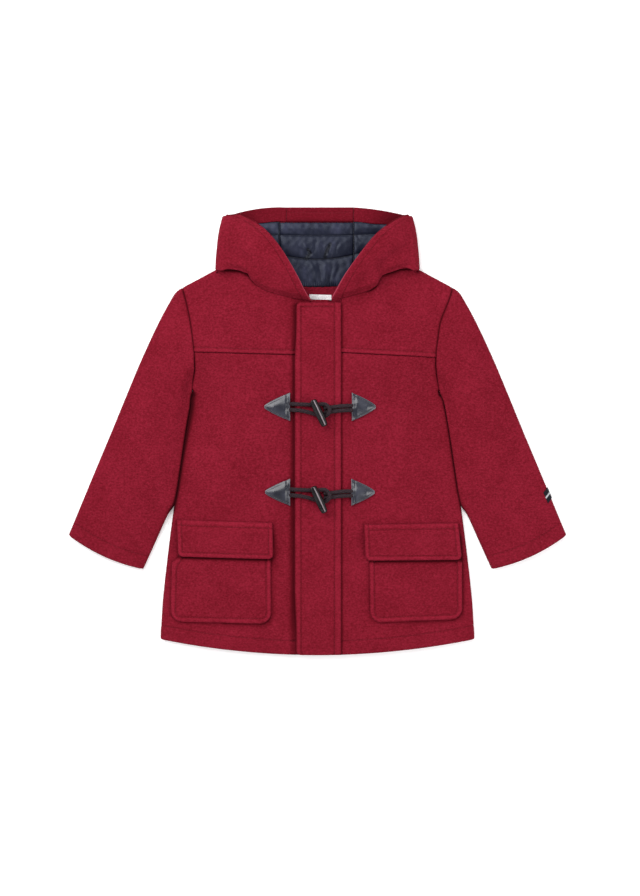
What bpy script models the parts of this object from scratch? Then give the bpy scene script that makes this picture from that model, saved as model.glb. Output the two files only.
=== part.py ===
# A toddler's hooded duffle coat in felted wool, laid flat on its back with the front up.
# Frame: +X to the wearer's left, +Y towards the hood, +Z out of the front. The back rests on z = 0.
# Tables are in millimetres, for one half of the coat: x counts outwards from the centre line.

import math

import bmesh
import bpy
import numpy as np
from mathutils import Vector

MM = 0.001

# Driving dimensions, millimetres.
WALL = 3.0              # felted wool, one layer
SEAM = 0.3              # gap between pieces that are sewn together
ROLL = 4.7              # outer radius where front and back turn into each other at an edge
HEM_CENTRE_Y = -268.2
HEM_RISE = 18.8         # how much higher the hem is at the side seams
HALF_HEM = 187.8
SHOULDER_TIP = (162.0, 171.6)
SHOULDER_NECK = (120.0, 194.0)
UNDERARM = (147.0, 46.8)
ARMHOLE_BOW = -5.2      # how far the armhole seam curves towards the body
YOKE_SEAM_Y = 92.4
RAMP = 60.0             # distance over which the front rises from its edge to full loft
SLEEVE_RAMP = 45.0
OVERLAP_RISE = 2.2      # the wearer's left front is lifted by the front below it
OVERLAP_FADE = 70.0
PLACKET = {"left_x": -25.2, "right_x": 28.8, "top_y": 153.6, "thick": 4.5, "corner": 4.0}
UNDER_FRONT_X = 14.0    # where the wearer's right front ends under the placket
POCKET = {"thick": 2.6, "corner": 14.0, "pouch": 2.0}
FLAP = {"thick": 3.0, "corner": 6.0, "lift": 0.7, "rise": 0.3}
PATCH_LIFT = 0.4        # gap under the placket and the pockets, on the faceted front
HOOD_SEAMS = (-37.2, 43.2)      # between the centre strip and the sides
LINING_SEAMS = (-45.5, 43.2)    # the same seams in the lining
HOOD_TOP_Y = 267.9
BRIM_BOW = {-1: 3.2, 1: 1.6}   # how far the brim curves up between its seam and its corner
NECK_Y = 171.9          # back neck seam at the centre line
NECK_RISE = 22.2        # how much higher it is at the hood's fold
NECK_HALF = 122.4
HOOD_OVERHANG = 2.5     # how far the hood's lower edge lies over the yokes
LINING = 4.0            # quilted lining of the hood
FACING = 2.6
FACING_WIDTH = 17.5
CORD = 4.4
TOGGLE = {"length": 35.0, "radius": 4.9, "end_radius": 3.9, "tilt": 25.0, "x": 2.6, "lift": 1.2}
TAB = {"thick": 1.4, "dome": 2.2, "tip_half": 1.2, "flare": 0.82, "rise": 0.35}
LABEL = {"left_x": -10.0, "right_x": 16.8, "top_y": 163.4, "bottom_y": 153.4, "thick": 1.0}
NECK_FACING = {"left_x": -34.0, "right_x": 40.0, "bottom_y": 152.0}
RIBBON = {"row": 8, "start": -0.42, "end": 0.1, "thick": 1.0, "run": 2.2}   # row: sleeve section it is by


def table(columns, rows):
    return {name: np.array([row[k] for row in rows], float) for k, name in enumerate(columns)}


# Side seam from the underarm to the hem.
SIDE = table(
    ("y", "x"),
    [(46.8, 147.0), (-88.8, 171.8), (-136.8, 178.0), (-174.0, 182.4), (-202.8, 185.4),
     (-231.6, 187.2), (-249.4, 187.8)],
)
# Loft of the body along its length: height of the front above the surface that the coat lies on.
LOFT = table(
    ("y", "height"),
    [(-268.8, 12.5), (-245.0, 13.5), (-190.0, 16.0), (-90.0, 17.5), (90.0, 18.0), (150.0, 17.0),
     (195.0, 15.0)],
)
# Neck seam on the front, under the hood.
NECK = table(
    ("x", "y"),
    [(-20.0, 157.0), (7.2, 157.5), (18.0, 159.0), (31.0, 161.0), (46.0, 165.0), (62.0, 169.5),
     (74.0, 177.0), (82.0, 187.0), (98.0, 191.5), (114.0, 194.5), (122.4, 196.9)],
)
# One row for each section of a sleeve, from armhole to cuff.
SLEEVE = table(
    ("outer_x", "outer_y", "inner_x", "inner_y", "bow_x", "bow_y", "height"),
    [
        (162.0, 171.6, 147.5, 46.8, ARMHOLE_BOW, 0.0, 16.8),
        (169.0, 166.6, 149.9, 34.0, -4.6, 0.0, 16.8),
        (175.4, 157.2, 152.6, 20.0, -3.4, 0.0, 17.0),
        (190.9, 128.4, 158.1, -10.0, -1.5, 0.0, 16.5),
        (210.9, 85.2, 164.1, -43.0, 0.0, 0.0, 16.0),
        (229.0, 42.0, 169.7, -73.0, 0.0, 0.0, 15.5),
        (246.2, 0.0, 172.8, -89.3, 0.0, -1.0, 15.0),
        (262.6, -39.0, 180.0, -102.0, 0.4, -2.0, 14.5),
        (279.6, -80.0, 194.2, -133.5, 1.2, -3.0, 14.0),
        (291.6, -109.0, 203.2, -153.4, 2.0, -4.0, 13.2),
        (298.2, -124.8, 208.8, -165.6, 2.4, -5.0, 12.6),
    ],
)
# Hood, one row for each section from the brim (along = 0) to the neck seam (along = 1). The fold is
# the outline, edge is the front edge: its distance out on the wearer's right and left, and its height.
HOOD = table(
    ("along", "fold_x", "fold_y", "edge_x_right", "edge_x_left", "edge_y", "edge_z", "fold_radius"),
    [
        (0.00, 113.6, 258.0, 93.6, 104.5, 259.2, 13.0, 6.2),
        (0.12, 115.2, 251.8, 73.7, 88.0, 248.4, 21.0, 7.8),
        (0.27, 117.3, 243.0, 56.4, 69.5, 234.0, 31.0, 9.5),
        (0.45, 119.4, 231.0, 40.8, 52.5, 216.0, 38.0, 10.0),
        (0.64, 120.8, 217.5, 26.4, 35.0, 195.6, 39.0, 10.0),
        (0.80, 121.8, 206.5, 16.2, 23.2, 177.6, 33.0, 9.8),
        (0.92, 122.2, 199.5, 9.8, 17.6, 164.5, 28.0, 10.0),
        (1.00, 122.4, 194.4, 7.2, 16.8, 157.0, 24.0, 10.0),
    ],
)
# Patch pockets and their flaps, corner by corner: side is -1 on the wearer's right.
POCKETS = [
    {"name": "right", "side": -1,
     "pocket": ((-173.6, -128.0), (-56.0, -128.0), (-176.0, -228.0), (-55.2, -230.6)),
     "flap": ((-167.4, -106.6), (-53.6, -111.0), (-166.6, -150.2), (-52.6, -153.2))},
    {"name": "left", "side": 1,
     "pocket": ((61.8, -128.0), (173.0, -128.0), (62.8, -229.0), (173.4, -225.0)),
     "flap": ((55.8, -113.2), (168.6, -111.4), (57.4, -155.0), (172.6, -154.4))},
]
# Toggle fastenings: the line of the cords, the tips and bases of the two leather tabs, half the
# width of a base, and how far below the line a toggle's centre lies.
FASTENINGS = [
    {"name": "upper", "y": 28.8, "tips": (-63.6, 69.8), "bases": (-32.6, 41.0),
     "half": 17.2, "drop": -7.5},
    {"name": "lower", "y": -73.2, "tips": (-62.8, 68.6), "bases": (-32.6, 40.4),
     "half": 16.4, "drop": -8.7},
]
# Route of a loop: out is the distance from its leather tab, aside the distance up from the
# fastening's line, rise the height above the cord's rest on the front (start, end) or placket.
LOOP_START = [(0.0, 3.4, 0.0), (0.8, 3.4, 0.1), (3.6, 3.4, 2.8)]
LOOP = [
    (-25.8, 3.3, 0.7), (-20.0, 2.9, 0.2), (-10.0, 2.5, 0.2), (-1.0, 2.5, 0.2), (6.0, 3.1, 0.8),
    (9.6, 2.7, 2.4), (12.6, 0.1, 4.7), (14.6, -4.4, 5.4), (12.6, -8.8, 4.4), (9.6, -11.1, 2.0),
    (6.0, -11.6, 0.6), (-2.0, -10.3, 0.1), (-12.0, -6.4, 0.2), (-20.0, -4.5, 0.2), (-25.8, -3.8, 0.7),
]
LOOP_END = [(3.6, -3.6, 2.8), (0.8, -3.6, 0.1), (0.0, -3.6, 0.0)]
# The two strands that hold a toggle, from x = 31 to their end under it, and the distance between them.
STRAND = [(31.0, -1.7, 0.1), (24.0, -2.3, 0.0), (14.0, -3.7, 0.0), (7.0, -4.4, 0.0)]
STRAND_GAP = 5.8
COLOURS = {
    "wool": ((0.231, 0.012, 0.027), 0.95),
    "quilting": ((0.022, 0.030, 0.055), 0.45),
    "leather": ((0.040, 0.055, 0.080), 0.35),
    "cord": ((0.020, 0.012, 0.012), 0.80),
    "horn": ((0.018, 0.011, 0.010), 0.30),
    "label": ((0.80, 0.79, 0.78), 0.60),
    "tab": ((0.010, 0.012, 0.030), 0.70),
}

for old in list(bpy.data.objects):
    bpy.data.objects.remove(old)
coat = bpy.data.collections.new("duffle_coat")
bpy.context.scene.collection.children.link(coat)


def material(kind):
    found = bpy.data.materials.get(kind)
    if found:
        return found
    made = bpy.data.materials.new(kind)
    made.use_nodes = True
    shader = made.node_tree.nodes["Principled BSDF"]
    colour, rough = COLOURS[kind]
    shader.inputs["Base Color"].default_value = (*colour, 1.0)
    shader.inputs["Roughness"].default_value = rough
    shader.inputs["Metallic"].default_value = 0.0
    made.diffuse_color = (*colour, 1.0)
    return made


def add_object(name, data, kind):
    piece = bpy.data.objects.new(name, data)
    data.materials.append(material(kind))
    coat.objects.link(piece)
    return piece


def wall_loft(name, outer, inner, kind, closed=False, mask=None):
    """A wall between two grids of points, rows by columns, closed all round its edge."""
    rows, cols = outer.shape[:2]
    turns = cols if closed else cols - 1
    if mask is None:
        mask = np.ones((rows - 1, turns), bool)
    work = bmesh.new()
    sides = []
    for grid in (outer, inner):
        sides.append([[work.verts.new(Vector(grid[i, j]) * MM) for j in range(cols)] for i in range(rows)])
    top, low = sides

    def present(i, j):
        if closed:
            return 0 <= i < rows - 1 and mask[i, j % turns]
        return 0 <= i < rows - 1 and 0 <= j < turns and mask[i, j]

    def rim(a, b):
        work.faces.new((top[a[0]][a[1]], low[a[0]][a[1]], low[b[0]][b[1]], top[b[0]][b[1]]))

    for i in range(rows - 1):
        for j in range(turns):
            if not mask[i, j]:
                continue
            k = (j + 1) % cols
            work.faces.new((top[i][j], top[i][k], top[i + 1][k], top[i + 1][j]))
            work.faces.new((low[i][j], low[i + 1][j], low[i + 1][k], low[i][k]))
            if not present(i - 1, j):
                rim((i, k), (i, j))
            if not present(i + 1, j):
                rim((i + 1, j), (i + 1, k))
            if not present(i, j - 1):
                rim((i, j), (i + 1, j))
            if not present(i, j + 1):
                rim((i + 1, k), (i, k))
    for vert in [v for v in work.verts if not v.link_faces]:
        work.verts.remove(vert)
    bmesh.ops.recalc_face_normals(work, faces=work.faces)
    mesh = bpy.data.meshes.new(name)
    work.to_mesh(mesh)
    work.free()
    mesh.shade_smooth()
    mesh.set_sharp_from_angle(angle=math.radians(50))
    return add_object(name, mesh, kind)


def sheet(name, points, thick, kind, bevel=0.0):
    """An open grid of points with Solidify, thickened upwards from them."""
    rows, cols = points.shape[:2]
    work = bmesh.new()
    verts = [[work.verts.new(Vector(points[i, j]) * MM) for j in range(cols)] for i in range(rows)]
    for i in range(rows - 1):
        for j in range(cols - 1):
            work.faces.new((verts[i][j], verts[i][j + 1], verts[i + 1][j + 1], verts[i + 1][j]))
    bmesh.ops.recalc_face_normals(work, faces=work.faces)
    up = sum((face.normal.z for face in work.faces)) > 0
    if not up:
        bmesh.ops.reverse_faces(work, faces=work.faces)
    mesh = bpy.data.meshes.new(name)
    work.to_mesh(mesh)
    work.free()
    piece = add_object(name, mesh, kind)
    shell = piece.modifiers.new("wall", "SOLIDIFY")
    shell.thickness = thick * MM
    shell.offset = 1.0
    shell.use_even_offset = True
    if bevel:
        soften = piece.modifiers.new("edge", "BEVEL")
        soften.width = bevel * MM
        soften.segments = 1
        soften.limit_method = "ANGLE"
        soften.angle_limit = math.radians(60)
    return piece


def smooth(value):
    t = np.clip(value, 0.0, 1.0)
    return t * t * (3.0 - 2.0 * t)


def side_x(y):
    return np.interp(-y, -SIDE["y"], SIDE["x"])


def hem_y(x):
    return HEM_CENTRE_Y + HEM_RISE * (x / HALF_HEM) ** 2


def armhole_x(y):
    along = np.clip((SHOULDER_TIP[1] - y) / (SHOULDER_TIP[1] - UNDERARM[1]), 0.0, 1.0)
    straight = SHOULDER_TIP[0] + (UNDERARM[0] - SHOULDER_TIP[0]) * along
    return straight + ARMHOLE_BOW * 4.0 * along * (1.0 - along)


def outline_x(y):
    return np.where(y < UNDERARM[1], side_x(y), armhole_x(y))


def segment_distance(x, y, start, end):
    start, end = np.array(start), np.array(end)
    run = end - start
    along = np.clip(((x - start[0]) * run[0] + (y - start[1]) * run[1]) / run.dot(run), 0.0, 1.0)
    return np.hypot(x - start[0] - along * run[0], y - start[1] - along * run[1])


def edge_distance(x, y):
    """Distance from a point of the body to its nearest rolled edge: side seam or shoulder seam."""
    x = abs(x)
    nearest = segment_distance(x, y, SHOULDER_TIP, SHOULDER_NECK)
    points = list(zip(SIDE["x"], SIDE["y"]))
    for start, end in zip(points, points[1:]):
        nearest = np.minimum(nearest, segment_distance(x, y, start, end))
    return nearest


def roll_sine(distance):
    return np.sqrt(np.clip(1.0 - (1.0 - np.clip(distance / ROLL, 0.0, 1.0)) ** 2, 0.0, 1.0))


def front_height(x, y, lifted=False):
    """Height of the outer face of the front at a point of the plan."""
    distance = edge_distance(x, y)
    loft = np.interp(y, LOFT["y"], LOFT["height"])
    height = ROLL + SEAM + ROLL * roll_sine(distance)
    height = height + (loft - 2.0 * ROLL) * smooth((distance - ROLL) / RAMP)
    if lifted:
        height = height + OVERLAP_RISE * (1.0 - smooth((x - PLACKET["right_x"]) / OVERLAP_FADE))
    return height


def inward(x, y):
    """Unit direction in plan away from the nearest rolled edge, on the half where x is positive."""
    step = 0.05
    dx = edge_distance(x + step, y) - edge_distance(x - step, y)
    dy = edge_distance(x, y + step) - edge_distance(x, y - step)
    size = max(math.hypot(dx, dy), 1e-6)
    return dx / size, dy / size


def edge_offsets(flat):
    """Column places measured in from a rolled edge: around the roll, then up the ramp."""
    around = [ROLL * (1.0 - math.cos(math.radians(angle))) for angle in (0, 30, 60, 90)]
    return around + ([60.0] if flat else [13.0, 22.0, 32.0, 44.0, 60.0])


def body_grid(ys, inner_x, side, top_line=None, bottom_line=None, wide=3, flat=False):
    """Plan grid of half of the body: columns run in from the outline to inner_x."""
    grid = np.zeros((len(ys), len(edge_offsets(flat)) + wide, 2))
    low, high = ys[0], ys[-1]
    for i, y in enumerate(ys):
        outline = float(outline_x(y)) - (SEAM if y > UNDERARM[1] - 1.0 else 0.0)
        near = [outline - step for step in edge_offsets(flat)]
        far = np.linspace(near[-1], inner_x * side, wide + 1)[1:]
        for j, x in enumerate(near + list(far)):
            place = y
            share = (y - low) / (high - low)
            if bottom_line is not None:
                place += (bottom_line(x) - bottom_line(outline)) * (1.0 - smooth(share / 0.4))
            if top_line is not None:
                place += (top_line(x) - top_line(outline)) * smooth((share - 0.15) / 0.85)
            grid[i, j] = (x, place)
    return grid


def shoulder_line(x):
    """Top edge of the front: the shoulder seam, then the neck seam just below the hood."""
    shoulder = SHOULDER_TIP[1] + (SHOULDER_NECK[1] - SHOULDER_TIP[1]) * (
        (SHOULDER_TIP[0] - x) / (SHOULDER_TIP[0] - SHOULDER_NECK[0])
    )
    neck = np.interp(x, NECK["x"], NECK["y"]) - SEAM * 1.5
    return np.where(x > SHOULDER_NECK[0], shoulder, np.minimum(neck, SHOULDER_NECK[1]))


def back_neck_y(x):
    """Back neck seam, where the hood's lower layer is sewn to the back."""
    return NECK_Y + NECK_RISE * (x / NECK_HALF) ** 2


def back_top_line(x):
    shoulder = SHOULDER_TIP[1] + (SHOULDER_NECK[1] - SHOULDER_TIP[1]) * (
        (SHOULDER_TIP[0] - x) / (SHOULDER_TIP[0] - SHOULDER_NECK[0])
    )
    neck = back_neck_y(x) - 2.5 * SEAM
    return np.where(x > SHOULDER_NECK[0], shoulder, np.minimum(neck, SHOULDER_NECK[1]))


def make_fronts():
    hem_rows = [-249.4, -236.0, -215.0, -188.0, -160.0, -130.0, -100.0, -70.0, -35.0, 0.0, 25.0]
    arm_rows = [38.0, 44.0, 46.8, 48.5, 52.0, 62.0, 78.0, YOKE_SEAM_Y - SEAM / 2]
    yoke_rows = [YOKE_SEAM_Y + SEAM / 2, 110.0, 128.0, 145.0, 157.0, 165.0, 169.5, 171.6]
    for name, side, inner_x in (("right", -1, UNDER_FRONT_X), ("left", 1, PLACKET["right_x"] + SEAM)):
        lifted = side > 0
        body = body_grid(hem_rows + arm_rows, inner_x, side, bottom_line=hem_y)
        flip = body * (side, 1)
        outer, inner = signed_wall(flip, True, side, lifted)
        wall_loft(f"front_{name}", outer, inner, "wool")
        yoke = body_grid(yoke_rows, inner_x, side, top_line=shoulder_line, wide=6)
        outer, inner = signed_wall(yoke * (side, 1), True, side, lifted)
        wall_loft(f"yoke_{name}", outer, inner, "wool")


def signed_wall(grid, top, side, lifted=False):
    """Wall points over a grid in signed plan coordinates; column 0 is the outline."""
    rows, cols = grid.shape[:2]
    outer = np.zeros((rows, cols, 3))
    inner = np.zeros((rows, cols, 3))
    for i in range(rows):
        for j in range(cols):
            x, y = grid[i, j]
            sine = float(roll_sine(edge_distance(x, y)))
            cosine = math.sqrt(max(0.0, 1.0 - sine * sine))
            way = np.zeros(2)
            if cosine > 0.02:
                way = np.array(inward(abs(x), y))
                if y > UNDERARM[1] - 0.5 and abs(x) > armhole_x(y) - 1.0:
                    seam = np.array([armhole_x(y + 1.0) - armhole_x(y - 1.0), 2.0])
                    seam /= np.linalg.norm(seam)
                    way = seam * math.copysign(1.0, way.dot(seam))
                way[0] *= math.copysign(1.0, x)
            z = float(front_height(x, y, lifted)) if top else ROLL - ROLL * sine
            outer[i, j] = (x, y, z)
            inner[i, j] = (x + WALL * cosine * way[0], y + WALL * cosine * way[1],
                           z - WALL * sine if top else z + WALL * sine)
    return outer, inner


def make_back():
    ys = [-249.4, -225.0, -190.0, -150.0, -110.0, -70.0, -20.0, 25.0, 38.0, 44.0, 46.8, 48.5, 52.0,
          64.0, 90.0, 120.0, 145.0, 157.0, 165.0, 169.5, 171.6]
    half = body_grid(ys, 0.0, 1, top_line=back_top_line, bottom_line=hem_y, wide=4, flat=True)
    left = half[:, ::-1]
    right = half[:, :-1] * (-1, 1)
    grid = np.concatenate([right, left], axis=1)
    outer, inner = signed_wall(grid, False, 1)
    wall_loft("back", outer, inner, "wool")


def sleeve_section(row, thick):
    """One closed section of a sleeve: over the top from the outer edge, and back underneath."""
    start = np.array([SLEEVE["outer_x"][row], SLEEVE["outer_y"][row]])
    end = np.array([SLEEVE["inner_x"][row], SLEEVE["inner_y"][row]])
    bow = np.array([SLEEVE["bow_x"][row], SLEEVE["bow_y"][row]])
    width = float(np.linalg.norm(end - start))
    height = SLEEVE["height"][row]
    radius = ROLL - thick
    angles = [math.radians(angle) for angle in (0, 30, 60, 90)]
    places = []
    for angle in angles:
        places.append((ROLL - radius * math.cos(angle), math.sin(angle)))
    for share in (0.16, 0.33, 0.5, 0.67, 0.84):
        places.append((width * share, 1.0))
    for angle in angles[::-1]:
        places.append((width - ROLL + radius * math.cos(angle), math.sin(angle)))
    over = []
    for along, sine in places:
        inset = min(along, width - along)
        rise = (height - 2.0 * ROLL) * float(smooth((inset - ROLL) / SLEEVE_RAMP))
        over.append((along, ROLL + radius * sine + rise))
    under = [(along, ROLL - radius * sine) for along, sine in places[1:-1][::-1]]
    points = []
    for along, z in over + under:
        share = along / width
        plan = start + (end - start) * share + bow * 4.0 * share * (1.0 - share)
        points.append((plan[0], plan[1], z))
    return points


def make_sleeves():
    for name, side in (("right", -1), ("left", 1)):
        rows = range(len(SLEEVE["height"]))
        outer = np.array([sleeve_section(row, 0.0) for row in rows])
        inner = np.array([sleeve_section(row, WALL) for row in rows])
        outer[0, :, 0] += SEAM
        inner[0, :, 0] += SEAM
        wall_loft(f"sleeve_{name}", outer * (side, 1, 1), inner * (side, 1, 1), "wool", closed=True)


def hood_value(column, along):
    return float(np.interp(along, HOOD["along"], HOOD[column]))


def hood_point(along, place, depth, side, seams):
    """A point of a hood side. along runs from brim to neck. place is (run, t): run is low, fold or
    high and t goes from its start to its end. depth is measured in from the outer face."""
    run, t = place
    seam = (abs(seams[0 if side < 0 else 1]), HOOD_TOP_Y + (NECK_Y - HOOD_TOP_Y) * along)
    radius = hood_value("fold_radius", along)
    fold = (hood_value("fold_x", along), hood_value("fold_y", along))
    turn = fold[0] - radius
    edge = (hood_value("edge_x_right" if side < 0 else "edge_x_left", along), hood_value("edge_y", along))
    if run == "low":
        x = seam[0] + (turn - seam[0]) * t
        y = seam[1] + (fold[1] - seam[1]) * t
        y += BRIM_BOW[side] * 4.0 * t * (1.0 - t) * (1.0 - along) ** 3
        low = back_neck_y(x) + SEAM
        y += (low - y) * along ** 3
        return (side * x, y, depth)
    if run == "fold":
        angle = math.radians(-90.0 + 180.0 * t)
        x = turn + (radius - depth) * math.cos(angle)
        z = radius + (radius - depth) * math.sin(angle)
        return (side * x, fold[1], z)
    x = turn + (edge[0] - turn) * t
    y = fold[1] + (edge[1] - fold[1]) * t
    low = float(np.interp(x, NECK["x"], NECK["y"])) - HOOD_OVERHANG
    y += (low - y) * along ** 4
    top = 2.0 * radius
    z = top + (hood_value("edge_z", along) - top) * math.sin(0.5 * math.pi * t)
    return (side * x, y, z - depth)


def hood_columns(along, side, end):
    """Column places from the centre seam to the front edge, with a band beside the front edge."""
    turn = hood_value("fold_x", along) - hood_value("fold_radius", along)
    edge = hood_value("edge_x_right" if side < 0 else "edge_x_left", along)
    run = turn - edge
    band = min(FACING_WIDTH, 0.6 * run) / run
    gap = 0.5 * SEAM / run
    low = [("low", t) for t in (0.0, 0.35, 0.7)]
    fold = [("fold", t) for t in (0.0, 0.25, 0.5, 0.75)]
    high = [("high", (1.0 - band) * t) for t in (0.0, 0.35, 0.7)]
    lining_end = [("high", 1.0 - band - gap)]
    facing = [("high", 1.0 - band + gap), ("high", 1.0 - band / 2), ("high", 1.0)]
    if end == "lining":
        return low + fold + high + lining_end
    return low + fold + high + facing


def hood_layer(name, side, depths, alongs, end, kind, mask=None):
    """One layer of a hood side. Its end is facing, which runs to the front edge, or lining."""
    seams = LINING_SEAMS if end == "lining" else HOOD_SEAMS
    layers = []
    for depth in depths:
        rows = []
        for along in alongs:
            places = hood_columns(along, side, end)
            rows.append([hood_point(along, place, depth, side, seams) for place in places])
        layers.append(np.array(rows))
    wall_loft(name, layers[0], layers[1], kind, mask=mask)


def make_hood():
    band = FACING_WIDTH / (HOOD_TOP_Y - NECK_Y)
    gap = 0.5 * SEAM / (HOOD_TOP_Y - NECK_Y)
    shared = [0.26, 0.36, 0.48, 0.6, 0.72, 0.82, 0.9]
    alongs = [0.0, band / 2, band] + shared + [1.0]
    facing_rows = [0.0, band / 2, band - gap] + shared
    lining_rows = [band + gap] + shared
    start = WALL + SEAM
    for name, side in (("right", -1), ("left", 1)):
        hood_layer(f"hood_side_{name}", side, (0.0, WALL), alongs, "facing", "wool")
        columns = len(hood_columns(0.5, side, "facing")) - 1
        mask = np.zeros((len(facing_rows) - 1, columns), bool)
        mask[:2, :] = True
        mask[:, columns - 2:] = True
        hood_layer(f"hood_facing_{name}", side, (start, start + FACING), facing_rows, "facing", "wool", mask)
        hood_layer(f"hood_lining_{name}", side, (start, start + LINING), lining_rows, "lining", "quilting")
    band_end = HOOD_TOP_Y - FACING_WIDTH
    lining_ends = (band_end - 3 * SEAM, NECK_Y + SEAM)
    strip("hood_centre", HOOD_SEAMS, (HOOD_TOP_Y, NECK_Y), (0.0, WALL), "wool")
    strip("hood_facing_centre", HOOD_SEAMS, (HOOD_TOP_Y, band_end + SEAM / 2), (start, FACING), "wool")
    strip("hood_lining_centre", LINING_SEAMS, lining_ends, (start, LINING), "quilting")


def strip(name, seams, ends, layer, kind):
    """A piece of the hood's centre strip between two seams. layer is its base height and thickness."""
    base, thick = layer
    xs = np.linspace(seams[0] + SEAM, seams[1] - SEAM, 7)
    points = []
    for y in np.linspace(ends[0], ends[1], 6):
        share = (HOOD_TOP_Y - y) / (HOOD_TOP_Y - NECK_Y)
        lower = (back_neck_y(xs) - NECK_Y + SEAM) * share ** 3
        points.append([(x, y + drop, base) for x, drop in zip(xs, lower)])
    sheet(name, np.array(points), thick, kind)


def rounded_patch(corners, radius):
    """Plan grid of a four-cornered patch whose bottom corners are rounded."""
    top_left, top_right, low_left, low_right = (np.array(c) for c in corners)
    width = float(np.linalg.norm(top_right - top_left))
    height = float(np.linalg.norm(top_left - low_left))
    rows = [(t * (1.0 - radius / height), 0.0) for t in (0.0, 0.08, 0.3, 0.55, 0.8, 1.0)]
    for angle in (30.0, 60.0, 90.0):
        short = radius * (1.0 - math.sin(math.radians(angle)))
        inset = radius * (1.0 - math.cos(math.radians(angle)))
        rows.append((1.0 - short / height, inset / width))
    grid = []
    for down, inset in rows:
        line = []
        for across in (0.0, 0.05, 0.25, 0.5, 0.75, 0.95, 1.0):
            u = inset + (1.0 - 2.0 * inset) * across
            upper = top_left + (top_right - top_left) * u
            lower = low_left + (low_right - low_left) * u
            line.append(upper + (lower - upper) * down)
        grid.append(line)
    return np.array(grid)


def laid(grid, lift, lifted=False):
    """Plan points laid on the front, moved out by lift(row share, column share)."""
    rows, cols = grid.shape[:2]
    points = np.zeros((rows, cols, 3))
    for i in range(rows):
        for j in range(cols):
            x, y = grid[i, j]
            z = float(front_height(x, y, lifted)) + lift(i / (rows - 1), j / (cols - 1))
            points[i, j] = (x, y, z)
    return points


def pouch(down, across):
    """Lift of a pocket above the front: open at the top, full in the middle."""
    fullness = math.sin(math.pi * across) * math.sin(math.pi * min(1.0, 0.5 + down / 2))
    return PATCH_LIFT + POCKET["pouch"] * fullness


def cover(down, across):
    """Lift of a flap: sewn to the front along its top, and over the pocket below that."""
    over = POCKET["thick"] + 4.0 * SEAM + POCKET["pouch"] * math.sin(math.pi * across)
    return FLAP["lift"] + over * float(smooth(down / FLAP["rise"]))


def make_pockets():
    for entry in POCKETS:
        name, lifted = entry["name"], entry["side"] > 0
        plan = rounded_patch(entry["pocket"], POCKET["corner"])
        sheet(f"pocket_{name}", laid(plan, pouch, lifted), POCKET["thick"], "wool")
        plan = rounded_patch(entry["flap"], FLAP["corner"])
        sheet(f"pocket_flap_{name}", laid(plan, cover, lifted), FLAP["thick"], "wool")


def make_placket():
    corner = PLACKET["corner"]
    left, right, top = PLACKET["left_x"], PLACKET["right_x"] - SEAM / 2, PLACKET["top_y"]
    bend = 0.3 * corner
    ys = [top, top - bend, top - corner] + list(np.linspace(top - 14.0, HEM_CENTRE_Y, 20))
    insets = [corner, bend] + [0.0] * (len(ys) - 2)
    grid = np.zeros((len(ys), 6, 2))
    for i, (y, inset) in enumerate(zip(ys, insets)):
        for j, share in enumerate((0.0, 0.06, 0.3, 0.6, 0.94, 1.0)):
            x = left + inset + (right - left - inset) * share
            grid[i, j] = (x, max(y, float(hem_y(x))) if i < len(ys) - 1 else float(hem_y(x)))
    sheet("placket", laid(grid, lambda down, across: PATCH_LIFT), PLACKET["thick"], "wool")


def surface(x, y):
    """Top of what lies at a point near the fastenings: placket, or front."""
    if PLACKET["left_x"] <= x <= PLACKET["right_x"]:
        return float(front_height(x, y)) + PATCH_LIFT + PLACKET["thick"]
    return float(front_height(x, y, x > 0))


def make_leather(entry):
    """Two triangular tabs, each widening from its tip to its base and domed in between."""
    for name, tip, base, lifted in (
        ("right", entry["tips"][0], entry["bases"][0], False),
        ("left", entry["tips"][1], entry["bases"][1], True),
    ):
        outer, inner = [], []
        for along in (0.0, 0.04, 0.15, 0.35, 0.6, 0.85, 1.0):
            half = TAB["tip_half"] + (entry["half"] - TAB["tip_half"]) * along ** TAB["flare"]
            x = tip + (base - tip) * along
            rise = min(1.0, along / TAB["rise"]) * min(1.0, 0.6 + (1.0 - along) / 0.4)
            upper, lower = [], []
            for across in (-1.0, -0.85, -0.45, 0.0, 0.45, 0.85, 1.0):
                y = entry["y"] + half * across
                z = float(front_height(x, y, lifted)) + SEAM
                lower.append((x, y, z))
                upper.append((x, y, z + TAB["thick"] + TAB["dome"] * (1.0 - across ** 4) * rise))
            outer.append(upper)
            inner.append(lower)
        wall_loft(f"leather_{entry['name']}_{name}", np.array(outer), np.array(inner), "leather")


def cord(name, route):
    """A round cord through a smooth curve of its route's points."""
    smooth_points = catmull(np.array(route))
    curve = bpy.data.curves.new(name, "CURVE")
    curve.dimensions = "3D"
    curve.bevel_depth = CORD / 2 * MM
    curve.bevel_resolution = 2
    curve.use_fill_caps = True
    spline = curve.splines.new("POLY")
    spline.points.add(len(smooth_points) - 1)
    for point, place in zip(spline.points, smooth_points):
        point.co = (*(place * MM), 1.0)
    add_object(name, curve, "cord")


def catmull(points, parts=3):
    """A smooth curve through the points, in parts steps between each two."""
    padded = np.concatenate([[2 * points[0] - points[1]], points, [2 * points[-1] - points[-2]]])
    result = []
    for k in range(1, len(padded) - 2):
        before, start, end, after = padded[k - 1:k + 3]
        square = 2 * before - 5 * start + 4 * end - after
        cube = 3 * start - before - 3 * end + after
        for step in range(parts):
            t = step / parts
            result.append(0.5 * (2 * start + (end - before) * t + square * t ** 2 + cube * t ** 3))
    result.append(points[-1])
    return np.array(result)


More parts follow.
